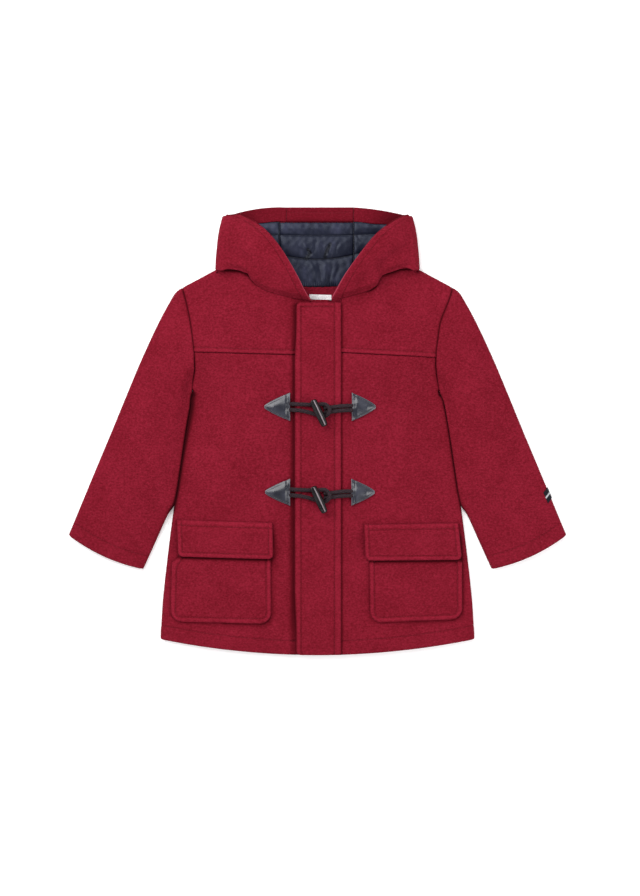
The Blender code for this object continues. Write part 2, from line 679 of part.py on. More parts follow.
def make_cords(entry):
    """A loop from the wearer's right lies under the toggle; two strands hold the toggle."""
    y = entry["y"]
    rest = CORD / 2 + SEAM
    base = entry["bases"][0] + 3.0 * SEAM
    low = surface(base - 1.0, y) + rest
    top = surface(-20.0, y) + rest
    loop = [(base + out, y + aside, low + rise) for out, aside, rise in LOOP_START]
    loop += [(x, y + aside, top + rise) for x, aside, rise in LOOP]
    loop += [(base + out, y + aside, low + rise) for out, aside, rise in LOOP_END]
    cord(f"cord_loop_{entry['name']}", loop)
    base = entry["bases"][1] - SEAM
    low = surface(base, y) + rest
    for name, offset in (("a", STRAND_GAP / 2), ("b", -STRAND_GAP / 2)):
        route = [(base, y - 1.4 + offset, low), (base - 4.0, y - 1.4 + offset, low + 0.8)]
        route += [(x, y + aside + offset, top + rise) for x, aside, rise in STRAND]
        cord(f"cord_toggle_{entry['name']}_{name}", route)


def make_toggle(entry):
    half = TOGGLE["length"] / 2
    profile = []
    for step in range(13):
        t = -1.0 + step / 6.0
        swell = (TOGGLE["radius"] - TOGGLE["end_radius"]) * math.cos(0.5 * math.pi * t)
        profile.append(((TOGGLE["end_radius"] + swell) * (1.0 - 0.75 * abs(t) ** 14), half * t))
    profile = [(0.0, -half)] + profile + [(0.0, half)]
    mesh = bpy.data.meshes.new(f"toggle_{entry['name']}")
    work = bmesh.new()
    verts = [work.verts.new((radius * MM, 0.0, -along * MM)) for radius, along in profile]
    for start, end in zip(verts, verts[1:]):
        work.edges.new((start, end))
    work.to_mesh(mesh)
    work.free()
    piece = add_object(f"toggle_{entry['name']}", mesh, "horn")
    turned = piece.modifiers.new("turn", "SCREW")
    turned.steps = 16
    turned.render_steps = 16
    turned.use_merge_vertices = True
    turned.merge_threshold = 0.00001
    turned.use_smooth_shade = True
    centre_y = entry["y"] + entry["drop"]
    height = surface(0.0, centre_y) + CORD + TOGGLE["lift"] + TOGGLE["radius"]
    piece.location = Vector((TOGGLE["x"], centre_y, height)) * MM
    piece.rotation_euler = (math.radians(90.0), 0.0, math.radians(TOGGLE["tilt"]))


def make_small_pieces():
    xs = np.linspace(NECK_FACING["left_x"], NECK_FACING["right_x"], 7)
    ys = (NECK_Y - SEAM, 163.0, NECK_FACING["bottom_y"])
    base = WALL + SEAM
    sheet("neck_facing", np.array([[(x, y, base) for x in xs] for y in ys]), FACING, "wool")
    xs = np.linspace(LABEL["left_x"], LABEL["right_x"], 3)
    ys = np.linspace(LABEL["top_y"], LABEL["bottom_y"], 3)
    base += FACING + SEAM
    sheet("neck_label", np.array([[(x, y, base) for x in xs] for y in ys]), LABEL["thick"], "label")
    make_sleeve_tab()


def make_sleeve_tab():
    """A folded ribbon over the outer edge of the wearer's left sleeve."""
    low, high = ROLL + SEAM, ROLL + SEAM + RIBBON["thick"]
    places = [(math.radians(angle), 0.0) for angle in (-20.0, 10.0, 40.0, 70.0, 90.0)]
    places.append((math.pi / 2, RIBBON["run"]))
    outer, inner = [], []
    for share in np.linspace(RIBBON["start"], RIBBON["end"], 3):
        inner.append([tab_point(share, low, turn, run) for turn, run in places])
        outer.append([tab_point(share, high, turn, run) for turn, run in places])
    wall_loft("sleeve_tab", np.array(outer), np.array(inner), "tab")


def tab_point(share, radius, turn, run):
    """A point around the sleeve's outer edge; share runs along the edge from the ribbon's section."""
    row = RIBBON["row"]
    edge = np.array([SLEEVE["outer_x"][row], SLEEVE["outer_y"][row]])
    after = np.array([SLEEVE["outer_x"][row + 1], SLEEVE["outer_y"][row + 1]])
    place = edge + (after - edge) * share
    along = (after - edge) / np.linalg.norm(after - edge)
    plan = place + np.array([along[1], -along[0]]) * (ROLL - radius * math.cos(turn) + run)
    rise = 1.2 * float(smooth(run / 12.0))
    return (plan[0], plan[1], ROLL + radius * math.sin(turn) + rise)


make_back()
make_fronts()
make_sleeves()
make_hood()
make_placket()
make_pockets()
for fastening in FASTENINGS:
    make_leather(fastening)
    make_cords(fastening)
    make_toggle(fastening)
make_small_pieces()
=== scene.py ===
# A toddler's hooded duffle coat in felted wool, laid flat on its back with the front up.
# Sizes are in millimetres: x from the centre line, y towards the hood, z up from the floor.
import math

import bmesh
import bpy
import numpy as np
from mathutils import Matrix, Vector
from mathutils.bvhtree import BVHTree


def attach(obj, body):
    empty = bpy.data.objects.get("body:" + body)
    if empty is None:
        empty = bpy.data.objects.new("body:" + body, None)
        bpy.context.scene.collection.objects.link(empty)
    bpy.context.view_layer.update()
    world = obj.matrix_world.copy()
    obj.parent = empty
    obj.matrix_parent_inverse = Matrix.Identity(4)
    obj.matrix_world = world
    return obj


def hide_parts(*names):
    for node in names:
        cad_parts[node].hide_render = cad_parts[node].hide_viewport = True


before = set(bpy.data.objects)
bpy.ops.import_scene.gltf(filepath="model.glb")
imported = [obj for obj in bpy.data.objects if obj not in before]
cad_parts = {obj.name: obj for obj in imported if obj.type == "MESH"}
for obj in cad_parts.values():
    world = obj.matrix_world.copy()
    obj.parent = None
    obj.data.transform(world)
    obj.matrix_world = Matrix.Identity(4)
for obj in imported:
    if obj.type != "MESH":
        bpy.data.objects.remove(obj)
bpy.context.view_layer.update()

mm = 0.001
sides = (("Right", -1), ("Left", 1))  # the wearer's


def soft(value):
    t = np.clip(value, 0.0, 1.0)
    return t * t * (3.0 - 2.0 * t)


def dip(distance, width):
    return np.exp(-(distance / width) ** 2)


def spread(low, high, coarse, spots=(), fine=0.6, reach=2.0):  # places close together near spots and ends
    places, here = [low], low
    while here < high:
        near = min(abs(here - spot) for spot in (low, high, *spots))
        here += min(coarse, fine + 0.35 * max(0.0, near - reach))
        places.append(here)
    places = np.array(places)
    return low + (places - low) * (high - low) / (places[-1] - low)


def lineDistance(x, y, path):  # distance to a bent line, and how far along it the nearest point is
    lengths = [math.dist(a, b) for a, b in zip(path, path[1:])]
    best, share, done = np.full(np.shape(x), 1e9), np.zeros(np.shape(x)), 0.0
    for (ax, ay), (bx, by), length in zip(path, path[1:], lengths):
        t = np.clip(((x - ax) * (bx - ax) + (y - ay) * (by - ay)) / length ** 2, 0.0, 1.0)
        away = np.hypot(x - ax - t * (bx - ax), y - ay - t * (by - ay))
        share = np.where(away < best, (done + t * length) / sum(lengths), share)
        best = np.minimum(best, away)
        done += length
    return best, share


def pressed(x, y, creases):  # soft troughs, or ridges where depth is below zero, that fade at both ends
    total = np.zeros(np.shape(x))
    for path, depth, width in creases:
        away, share = lineDistance(x, y, path)
        total -= depth * dip(away, width) * soft(share / 0.3) * soft((1.0 - share) / 0.3)
    return total


def drift(x, y, size=1.0):  # slow unevenness of thick cloth laid by hand
    slow = 0.24 * np.sin(x / 31.0 + 1.3) * np.sin(y / 43.0 + 0.4) + 0.16 * np.sin(x / 17.0 + y / 29.0)
    return size * (slow + 0.10 * np.sin(y / 12.0 - x / 23.0 + 2.0))


def smoothRows(rows, parts):  # Catmull-Rom between the rows of an array
    rows = np.array(rows, float)
    padded = np.concatenate([[2 * rows[0] - rows[1]], rows, [2 * rows[-1] - rows[-2]]])
    made = []
    for before, start, end, after in zip(padded, padded[1:], padded[2:], padded[3:]):
        for t in np.arange(parts) / parts:
            square = 2 * before - 5 * start + 4 * end - after
            cube = 3 * start - before - 3 * end + after
            made.append(0.5 * (2 * start + (end - before) * t + square * t ** 2 + cube * t ** 3))
    return np.array(made + [rows[-1]])


def atRows(rows, places):  # smooth values between rows at fractional row numbers
    rows = np.array(rows, float)
    fine = smoothRows(rows, 16)
    flat = fine.reshape(len(fine), -1)
    spots = np.asarray(places) * 16
    made = np.stack([np.interp(spots, np.arange(len(fine)), flat[:, k]) for k in range(flat.shape[1])], 1)
    return made.reshape((len(made),) + rows.shape[1:])


def gridNormals(points, wraps):
    if wraps:
        across = np.roll(points, -1, 1) - np.roll(points, 1, 1)
    else:
        across = np.gradient(points, axis=1)
    normal = np.cross(across, np.gradient(points, axis=0))
    return normal / np.maximum(np.linalg.norm(normal, axis=2, keepdims=True), 1e-9)


def fromBorders(points):  # distances along the cloth from the first and last row, and first and last column
    found = []
    for axis in (0, 1):
        steps = np.linalg.norm(np.diff(points, axis=axis), axis=2)
        first = np.zeros_like(np.take(steps, [0], axis))
        start = np.concatenate([first, np.cumsum(steps, axis)], axis)
        found += [start, np.take(start, [-1], axis) - start]
    return found


def quads(index):  # the faces of a grid of point numbers
    return np.stack([index[:-1, :-1], index[:-1, 1:], index[1:, 1:], index[1:, :-1]], -1).reshape(-1, 4)


def shell(points, thick, relief, tone, edges, wraps=False, lit=-1, down=False):
    # wall under a grid of points, with rounded borders; lit is the column whose face looks up, or down
    rows, cols = points.shape[:2]
    normal = gridNormals(points, wraps)
    if wraps:
        outward = np.sum(normal * (points - points.mean(1, keepdims=True)))
    else:
        outward = np.sum(normal[:, lit, 2])
    if (outward < 0) != down:
        normal = -normal
    inset = np.zeros((rows, cols))
    for away, radius in zip(fromBorders(points), np.zeros(4) + edges):
        if radius > 0:
            near = 1.0 - np.clip(away / radius, 0.0, 1.0)
            inset = np.maximum(inset, radius * (1.0 - np.sqrt(1.0 - near ** 2)))
    inset = np.minimum(inset, 0.46 * thick)[..., None]
    relief = (np.zeros((rows, cols)) + relief)[..., None]
    outer = points + normal * (relief - inset)
    inner = points - normal * (thick - inset)
    index = np.arange(rows * cols).reshape(rows, cols)
    if wraps:
        index = np.concatenate([index, index[:, :1]], 1)
    under = index + rows * cols
    faces = [
        quads(index),
        quads(under)[:, [0, 3, 2, 1]],
        np.stack([index[0, 1:], index[0, :-1], under[0, :-1], under[0, 1:]], -1),
        np.stack([index[-1, :-1], index[-1, 1:], under[-1, 1:], under[-1, :-1]], -1),
    ]
    if not wraps:
        faces.append(np.stack([index[:-1, 0], index[1:, 0], under[1:, 0], under[:-1, 0]], -1))
        faces.append(np.stack([index[1:, -1], index[:-1, -1], under[:-1, -1], under[1:, -1]], -1))
    tone = np.tile((np.zeros((rows, cols)) + tone).reshape(-1), 2)
    verts = np.concatenate([outer.reshape(-1, 3), inner.reshape(-1, 3)])
    return {"verts": verts, "faces": np.concatenate(faces).tolist(), "tone": tone}


def closedRings(rings, ends, tone):  # rings of points, closed by a fan at each end
    rows, sides = rings.shape[:2]
    index = np.arange(rows * sides).reshape(rows, sides)
    index = np.concatenate([index, index[:, :1]], 1)
    caps = [(rows * sides, index[0, k + 1], index[0, k]) for k in range(sides)]
    caps += [(rows * sides + 1, index[-1, k], index[-1, k + 1]) for k in range(sides)]
    tone = np.concatenate([tone.reshape(-1), np.zeros(2)])
    verts = np.concatenate([rings.reshape(-1, 3), ends])
    return {"verts": verts, "faces": quads(index).tolist() + np.array(caps).tolist(), "tone": tone}


# how far the armhole lines and the placket's free edge are moved, and where
armhole = {"x": 147.0, "reach": 38.0, "leftIn": 5.5, "leftTop": (165.0, 40.0), "leftLow": (35.0, 50.0),
           "rightOut": 3.4, "rightY": 52.0, "rightSpan": 26.0}
placketFold = {"x": -26.0, "out": 2.0, "reach": 5.5, "top": (128.0, 50.0), "low": (-246.0, 60.0)}


def within(y, top, low):  # 1 between two places, each with the length over which it fades
    return soft((top[0] - y) / top[1]) * soft((y - low[0]) / low[1])


def eased(points):  # eases the two armhole lines and the placket's free edge into their places
    x, y = points[:, 0], points[:, 1]
    near = 1.0 - soft(abs(abs(x) - armhole["x"]) / armhole["reach"])
    inward = armhole["leftIn"] * within(y, armhole["leftTop"], armhole["leftLow"])
    outward = armhole["rightOut"] * (1.0 - soft(abs(y - armhole["rightY"]) / armhole["rightSpan"]))
    moved = points.copy()
    moved[:, 0] -= near * np.where(x > 0, inward, outward)
    beside = 1.0 - soft(abs(x - placketFold["x"]) / placketFold["reach"])
    moved[:, 0] -= placketFold["out"] * within(y, placketFold["top"], placketFold["low"]) * beside
    return moved


def addPiece(name, verts, faces, tone, look):
    mesh = bpy.data.meshes.new(name)
    mesh.from_pydata((verts * mm).tolist(), [], faces)
    mesh.attributes.new("tone", "FLOAT", "POINT").data.foreach_set("value", tone.astype(np.float32))
    mesh.polygons.foreach_set("use_smooth", np.ones(len(mesh.polygons), bool))
    mesh.materials.append(looks[look])
    mesh.validate()
    work = bmesh.new()
    work.from_mesh(mesh)
    bmesh.ops.recalc_face_normals(work, faces=work.faces)
    work.to_mesh(mesh)
    work.free()
    piece = bpy.data.objects.new(name, mesh)
    bpy.context.scene.collection.objects.link(piece)
    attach(piece, "root")
    return piece


def makePiece(name, look, *parts, node=None):
    # a piece of one or more walls or tubes, which stands for the node of its own name
    faces, start = [], 0
    for part in parts:
        faces += [[k + start for k in face] for face in part["faces"]]
        start += len(part["verts"])
    verts, tone = (np.concatenate([part[key] for part in parts]) for key in ("verts", "tone"))
    piece = addPiece(name, eased(verts), faces, tone, look)
    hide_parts(node or "".join("_" + c.lower() if c.isupper() else c for c in name))
    return piece


def topOf(piece):  # function that drops a point on to the piece from above
    mesh = piece.data
    tree = BVHTree.FromPolygons([v.co for v in mesh.vertices], [p.vertices for p in mesh.polygons])

    def drop(x, y):
        place, normal, _, _ = tree.ray_cast(Vector((x * mm, y * mm, 0.2)), Vector((0, 0, -1)))
        return place and (np.array(place) / mm, np.array(normal))

    return drop


class Field:  # a socket that works in plain arithmetic
    def __init__(self, look, socket):
        self.look, self.socket = look, socket

    def math(self, operation, first, second):
        return self.look.node("Math", {"operation": operation}, {0: first, 1: second})

    def __add__(self, other): return self.math("ADD", self, other)
    def __radd__(self, other): return self.math("ADD", other, self)
    def __sub__(self, other): return self.math("SUBTRACT", self, other)
    def __rsub__(self, other): return self.math("SUBTRACT", other, self)
    def __mul__(self, other): return self.math("MULTIPLY", self, other)
    def __rmul__(self, other): return self.math("MULTIPLY", other, self)


class Look:
    def __init__(self, name, constants):
        self.material = bpy.data.materials.new(name)
        self.material.use_nodes = True
        self.tree = self.material.node_tree
        self.shader = self.tree.nodes["Principled BSDF"]
        for key, value in constants.items():
            self.shader.inputs[key].default_value = value
        self.place = self.node("TexCoord", {}, {}, "Object")

    def node(self, kind, settings, sockets, out=0):
        made = self.tree.nodes.new("ShaderNode" + kind)
        for key, value in settings.items():
            setattr(made, key, value)
        for key, value in sockets.items():
            self.feed(made.inputs[key], value)
        return Field(self, made.outputs[out])

    def feed(self, socket, value):
        if isinstance(value, Field):
            self.tree.links.new(value.socket, socket)
        else:
            socket.default_value = value

    def noise(self, scale, detail, rough, stretch=(1.0, 1.0, 1.0), turn=(0.0, 0.0, 0.0)):
        place = self.node("Mapping", {}, {"Vector": self.place, "Scale": stretch, "Rotation": turn})
        sockets = {"Vector": place, "Scale": scale, "Detail": detail, "Roughness": rough}
        return self.node("TexNoise", {}, sockets)

    def ramp(self, value, low, high, start=0.0, end=1.0):
        sockets = {"Value": value, "From Min": low, "From Max": high, "To Min": start, "To Max": end}
        return self.node("MapRange", {"interpolation_type": "SMOOTHSTEP"}, sockets)

    def mix(self, factor, first, second):
        first, second = ((*one, 1.0) if isinstance(one, tuple) else one for one in (first, second))
        return self.node("Mix", {"data_type": "RGBA"}, {0: factor, 6: first, 7: second}, 2)

    def tone(self):
        return self.node("Attribute", {"attribute_name": "tone"}, {}, "Fac")

    def finish(self, colour, rough, height, distance, strength):
        self.feed(self.shader.inputs["Base Color"], colour)
        self.feed(self.shader.inputs["Roughness"], rough)
        sockets = {"Height": height, "Distance": distance, "Strength": strength}
        self.feed(self.shader.inputs["Normal"], self.node("Bump", {}, sockets))
        return self.material


felt = {
    "deep": (0.112, 0.0036, 0.0092),
    "light": (0.228, 0.0112, 0.0268),
    "fleck": (0.350, 0.0520, 0.0780),
    "paintedHighlight": (0.330, 0.0600, 0.0900),
    "shadow": (0.022, 0.0004, 0.0018),
    "sheen": 0.07,
}


def feltLook(name):
    look = Look(name, {
        "Sheen Weight": felt["sheen"], "Sheen Roughness": 0.42, "Sheen Tint": (0.90, 0.12, 0.18, 1.0),
        "Specular IOR Level": 0.05,
    })
    nap = look.noise(520.0, 4.0, 0.62, (0.72, 1.0, 1.0))
    fibre = look.noise(1500.0, 2.0, 0.6, (0.45, 1.0, 1.0), (0.0, 0.0, 0.5))
    crossing = look.noise(1250.0, 2.0, 0.6, (1.0, 0.4, 1.0), (0.0, 0.0, -0.3))
    cloud = look.noise(34.0, 3.0, 0.55)
    tone = look.tone()
    # the tone is painted light and shade: it lightens raised edges and darkens seams, grooves and the cloth
    # beside other pieces
    level = nap * 0.95 + fibre * 0.28 + crossing * 0.22 + cloud * 0.30 - 0.39 + tone * 0.4
    colour = look.mix(look.ramp(level, 0.22, 0.82), felt["deep"], felt["light"])
    flecks = look.ramp(look.noise(820.0, 2.0, 0.7, (0.5, 1.0, 1.0), (0.0, 0.0, 0.2)), 0.62, 0.76, 0.0, 0.30)
    colour = look.mix(flecks, colour, felt["fleck"])
    # painted shade: a tone below zero darkens the felt towards the shadow colour
    colour = look.mix(look.ramp(tone, -1.0, -0.1, 0.88, 0.0), colour, felt["shadow"])
    # painted highlight: a tone above 0.3 lightens raised edges and ridges towards a pale colour
    colour = look.mix(look.ramp(tone, 0.3, 1.0, 0.0, 0.75), colour, felt["paintedHighlight"])
    height = nap * 0.8 + fibre * 0.35 + crossing * 0.3
    return look.finish(colour, 0.88 + nap * 0.1, height, 0.0006, 0.75)


nylon = {
    "deep": (0.0085, 0.0100, 0.0210),
    "light": (0.0300, 0.0320, 0.0600),
    "shadow": (0.0015, 0.0015, 0.0030),
}


def nylonLook(name):
    look = Look(name, {
        "Specular IOR Level": 0.24, "Specular Tint": (0.78, 0.84, 1.0, 1.0), "Sheen Weight": 0.03,
        "Sheen Roughness": 0.3, "Sheen Tint": (0.6, 0.75, 1.0, 1.0),
    })
    crumple = look.noise(75.0, 3.0, 0.5, (1.0, 0.5, 1.0))
    weave = look.noise(2600.0, 1.0, 0.5)
    # painted light and shade: the tone lightens the puffs and darkens the sewn lines, pits and hollows
    colour = look.mix(look.ramp(crumple + look.tone() * 0.5, 0.35, 0.75), nylon["deep"], nylon["light"])
    colour = look.mix(look.ramp(look.tone(), -1.0, -0.25, 0.90, 0.0), colour, nylon["shadow"])
    rough = look.ramp(crumple, 0.3, 0.7, 0.36, 0.46)
    return look.finish(colour, rough, crumple + weave * 0.05, 0.0006, 0.3)


# dark and light colours of the small materials
tints = {
    "cord": ((0.0050, 0.0026, 0.0036), (0.0360, 0.0200, 0.0265)),
    "sewing": ((0.105, 0.0040, 0.0100), (0.185, 0.0120, 0.0250)),
    "paleSewing": ((0.090, 0.098, 0.112), (0.220, 0.235, 0.255)),
    "leather": ((0.0100, 0.0108, 0.0190), (0.0350, 0.0370, 0.0560)), "wornLeather": (0.165, 0.160, 0.185),
    "horn": ((0.0040, 0.0026, 0.0036), (0.270, 0.222, 0.240)),
    "label": ((0.63, 0.595, 0.61), (0.86, 0.825, 0.84)),
    "ribbon": ((0.0030, 0.0020, 0.0050), (0.0070, 0.0050, 0.0110)), "stripe": (0.42, 0.42, 0.44),
}


def threadLook(name, tint, rough):
    look = Look(name, {"Specular IOR Level": 0.18, "Sheen Weight": 0.05, "Sheen Roughness": 0.4})
    twist = look.noise(1900.0, 2.0, 0.6, (1.0, 0.4, 1.0))
    # the tone is painted light and shade: on the cord it lightens the braid's crests and darkens its hollows
    level = look.ramp(twist + look.tone() * 0.4, 0.3, 0.75)
    return look.finish(look.mix(level, *tints[tint]), rough + twist * 0.1, twist, 0.0003, 0.6)


def leatherLook(name):
    look = Look(name, {"Specular IOR Level": 0.5, "Coat Roughness": 0.28, "Coat Weight": 0.32})
    patina = look.noise(62.0, 2.0, 0.45)
    grain = look.noise(1400.0, 2.0, 0.5)
    # the tone makes a pale line along the tab's edge, and paints shade in the sewn groove and the pressed
    # band
    level = look.ramp(patina + look.tone(), 0.25, 0.9)
    colour = look.mix(level, *tints["leather"])
    colour = look.mix(look.ramp(look.tone(), 0.25, 0.6, 0.0, 0.8), colour, tints["wornLeather"])
    rough = look.ramp(patina, 0.3, 0.7, 0.27, 0.36)
    return look.finish(colour, rough, grain * 0.3 + patina, 0.0002, 0.07)


def hornLook(name):
    look = Look(name, {"Specular IOR Level": 0.35, "Coat Weight": 0.12, "Coat Roughness": 0.18})
    streak = look.noise(300.0, 4.0, 0.6, (1.0, 0.13, 1.0), (0.0, 0.0, -math.radians(25.0)))
    cloud = look.noise(90.0, 2.0, 0.5)
    # the tone paints a highlight along the rim and shade in the slot
    level = look.ramp(streak * 0.7 + cloud * 0.3 + look.tone() * 0.9, 0.60, 1.45)
    colour = look.mix(level, *tints["horn"])
    return look.finish(colour, look.ramp(streak, 0.3, 0.7, 0.24, 0.40), streak, 0.0003, 0.5)


def labelLook(name):
    look = Look(name, {"Specular IOR Level": 0.4, "Sheen Weight": 0.2})
    rib = look.noise(1500.0, 1.0, 0.5, (1.0, 0.25, 1.0))
    colour = look.mix(look.ramp(rib + look.tone(), 0.3, 0.7), *tints["label"])
    return look.finish(colour, 0.55 + rib * 0.1, rib, 0.0002, 0.5)


def ribbonLook(name):
    look = Look(name, {"Specular IOR Level": 0.15, "Sheen Weight": 0.03})
    rib = look.noise(1700.0, 1.0, 0.5, (0.3, 1.0, 1.0))
    navy = look.mix(look.ramp(rib, 0.3, 0.7), *tints["ribbon"])
    return look.finish(look.mix(look.tone(), navy, tints["stripe"]), 0.6 + rib * 0.1, rib, 0.0002, 0.5)


looks = {
    "felt": feltLook("feltedWool"),
    "nylon": nylonLook("quiltedNylon"),
    "leather": leatherLook("slateLeather"),
    "horn": hornLook("darkHorn"),
    "cord": threadLook("braidedCord", "cord", 0.72),
    "sewing": threadLook("redThread", "sewing", 0.80),
    "paleSewing": threadLook("paleThread", "paleSewing", 0.55),
    "label": labelLook("wovenLabel"),
    "ribbon": ribbonLook("navyRibbon"),
}
print("materials made")


body = {
    "wall": 3.0, "seam": 0.3, "roll": 4.7, "ramp": 60.0,
    "hemY": -268.2, "hemRise": 18.8, "halfHem": 187.8, "hemStitch": 16.8,
    "shoulderTip": (162.0, 171.6), "shoulderNeck": (120.0, 194.0), "underarm": (147.0, 46.8),
    "armholeBow": -5.2,
    "yokeSeam": {-1: (91.2, 94.3), 1: (93.8, 87.6)}, "yokeSpan": (28.8, 147.0), "yokeStitch": 5.6,
    "overlapRise": 2.2, "overlapFade": 70.0, "underFront": 14.0,
    "side": [(147.0, 46.8), (151.0, 36.0), (154.2, 20.0), (157.6, 0.0), (163.4, -40.0), (168.3, -72.0),
             (171.8, -88.8), (178.0, -136.8), (182.4, -174.0), (185.4, -202.8), (187.2, -231.6),
             (187.8, -249.4)],
    "loft": [(-268.8, 12.5), (-245.0, 13.5), (-190.0, 16.0), (-90.0, 17.5), (90.0, 18.0), (150.0, 17.0),
             (195.0, 15.0)],
    "neck": {
        -1: [(-20.0, 157.0), (7.2, 157.5), (18.0, 159.0), (31.0, 161.0), (46.0, 165.0), (62.0, 169.5),
             (75.0, 178.0), (80.0, 184.0), (82.5, 190.5), (93.0, 194.5), (114.0, 196.0), (122.4, 198.0)],
        1: [(-20.0, 157.0), (7.2, 157.5), (18.0, 159.0), (31.0, 161.0), (46.0, 165.0), (62.0, 170.0),
            (70.5, 175.5), (73.5, 183.0), (77.0, 189.5), (88.0, 192.5), (99.0, 196.5), (114.0, 197.0),
            (122.4, 198.0)],
    },
    "neckY": 171.9, "neckRise": 22.2, "neckHalf": 122.4,
    "coarse": 2.4,
}
# Soft troughs of the fronts and yokes: path, depth, width. A depth below zero is a soft ridge.
bodyCreases = [
    ([(-128.0, 62.0), (-133.0, 30.0), (-139.0, -4.0), (-146.0, -30.0)], 1.7, 9.0),
    ([(-146.0, 58.0), (-150.0, 20.0), (-155.0, -20.0)], -0.5, 6.0),
    ([(-80.0, 178.0), (-74.0, 150.0), (-70.0, 122.0)], 1.3, 9.0),
    ([(-118.0, 180.0), (-100.0, 150.0), (-92.0, 128.0)], 0.5, 10.0),
    ([(82.0, 88.0), (84.0, 62.0), (80.0, 34.0)], 0.9, 12.0),
    ([(78.0, 172.0), (90.0, 150.0), (108.0, 130.0)], 0.6, 10.0),
    ([(128.0, 60.0), (131.0, 34.0), (138.0, 8.0)], 0.7, 8.0),
    ([(-35.0, 70.0), (-36.0, -60.0), (-36.0, -150.0), (-35.0, -262.0)], 1.3, 6.5),
    ([(44.0, 80.0), (45.0, -60.0), (46.0, -200.0), (45.0, -262.0)], 0.5, 9.0),
    ([(-62.0, -236.0), (-120.0, -241.0), (-170.0, -232.0)], 0.5, 7.0),
]


def sideX(y):
    places = np.array(body["side"])
    return np.interp(-y, -places[:, 1], places[:, 0])


def hemY(x):
    return body["hemY"] + body["hemRise"] * (x / body["halfHem"]) ** 2


def armholeX(y):
    (tipX, tipY), (lowX, lowY) = body["shoulderTip"], body["underarm"]
    along = np.clip((tipY - y) / (tipY - lowY), 0.0, 1.0)
    return tipX + (lowX - tipX) * along + body["armholeBow"] * 4.0 * along * (1.0 - along)


def outlineX(y):
    return np.where(y < body["underarm"][1], sideX(y), armholeX(y))


def edgeDistance(x, y):
    shoulder = lineDistance(abs(x), y, [body["shoulderTip"], body["shoulderNeck"]])[0]
    return np.minimum(shoulder, lineDistance(abs(x), y, body["side"])[0])


def rollSine(distance):
    return np.sqrt(np.clip(1.0 - (1.0 - np.clip(distance / body["roll"], 0.0, 1.0)) ** 2, 0.0, 1.0))


def frontHeight(x, y, lifted=False):
    distance, loft = edgeDistance(x, y), np.array(body["loft"])
    height = body["roll"] * (1.0 + rollSine(distance)) + body["seam"]
    rise = np.interp(y, loft[:, 0], loft[:, 1]) - 2.0 * body["roll"]
    height = height + rise * soft((distance - body["roll"]) / body["ramp"])
    if lifted:
        height = height + body["overlapRise"] * (1.0 - soft((x - placket["right"]) / body["overlapFade"]))
    return height


def shoulderLine(x, neck):
    (tipX, tipY), (endX, endY) = body["shoulderTip"], body["shoulderNeck"]
    shoulder = tipY + (endY - tipY) * (tipX - x) / (tipX - endX)
    return np.where(x > endX, shoulder, neck)


def neckLine(x, side):  # where a yoke ends under the hood
    neck = np.array(body["neck"][side])
    return np.interp(x, neck[:, 0], neck[:, 1])


def seamLine(x, side):  # the yoke seam, from its inner to its outer end
    return np.interp(x, body["yokeSpan"], body["yokeSeam"][side])


def backNeck(x):
    return body["neckY"] + body["neckRise"] * (x / body["neckHalf"]) ** 2


def backTop(x):
    return shoulderLine(x, np.minimum(backNeck(x) - 0.75, body["shoulderNeck"][1]))


def bodyGrid(ys, innerX, side, topLine, bottomLine, coarse=body["coarse"]):
    around = body["roll"] * (1.0 - np.cos(np.radians(np.arange(0.0, 91.0, 11.25))))
    near = np.concatenate([around, spread(body["roll"], 60.0, coarse)[1:]])
    far = spread(0.0, 70.0, coarse)[1:] / 70.0
    outline = outlineX(ys)[:, None]
    nearX = outline - near
    farX = nearX[:, -1:] + (innerX * side - nearX[:, -1:]) * far
    x = np.concatenate([nearX, farX], 1)
    y = ys[:, None] + np.zeros_like(x)
    share = (y - ys[0]) / (ys[-1] - ys[0])
    y = y + (bottomLine(x) - bottomLine(outline)) * (1.0 - soft(share / 0.4))
    return x, y + (topLine(x) - topLine(outline)) * soft((share - 0.15) / 0.85)


placket = {
    "left": -25.2, "right": 28.8, "top": 153.6, "thick": 4.5, "corner": 5.0, "lift": 0.4,
    "stitchLeft": 5.6, "stitchRight": 8.4, "stitchTop": 5.0,
}


def patchOutline(corners, radius):  # closed outline, with the lower corners rounded
    topLeft, topRight, lowLeft, lowRight = (np.array(c, float) for c in corners)

    def corner(before, at, after):
        a, b = before - at, after - at
        a, b = a / np.linalg.norm(a), b / np.linalg.norm(b)
        first, last = at + a * radius, at + b * radius
        return [(1 - t) ** 2 * first + 2 * t * (1 - t) * at + t ** 2 * last for t in np.linspace(0.0, 1.0, 9)]

    turns = corner(topLeft, lowLeft, lowRight) + corner(lowLeft, lowRight, topRight)
    leftSide = [topLeft + (turns[0] - topLeft) * t for t in np.linspace(0.0, 0.9, 8)]
    rightSide = [topRight + (turns[-1] - topRight) * t for t in np.linspace(0.9, 0.0, 8)]
    return [tuple(p) for p in leftSide + turns + rightSide]


def narrowed(x, y):  # a pocket's outer side runs in under the flap
    outer = soft((abs(x) - 110.0) / 50.0)
    return x + outer * np.where(x < 0.0, 7.0, -3.0) * soft((y + 159.0) / 9.0)


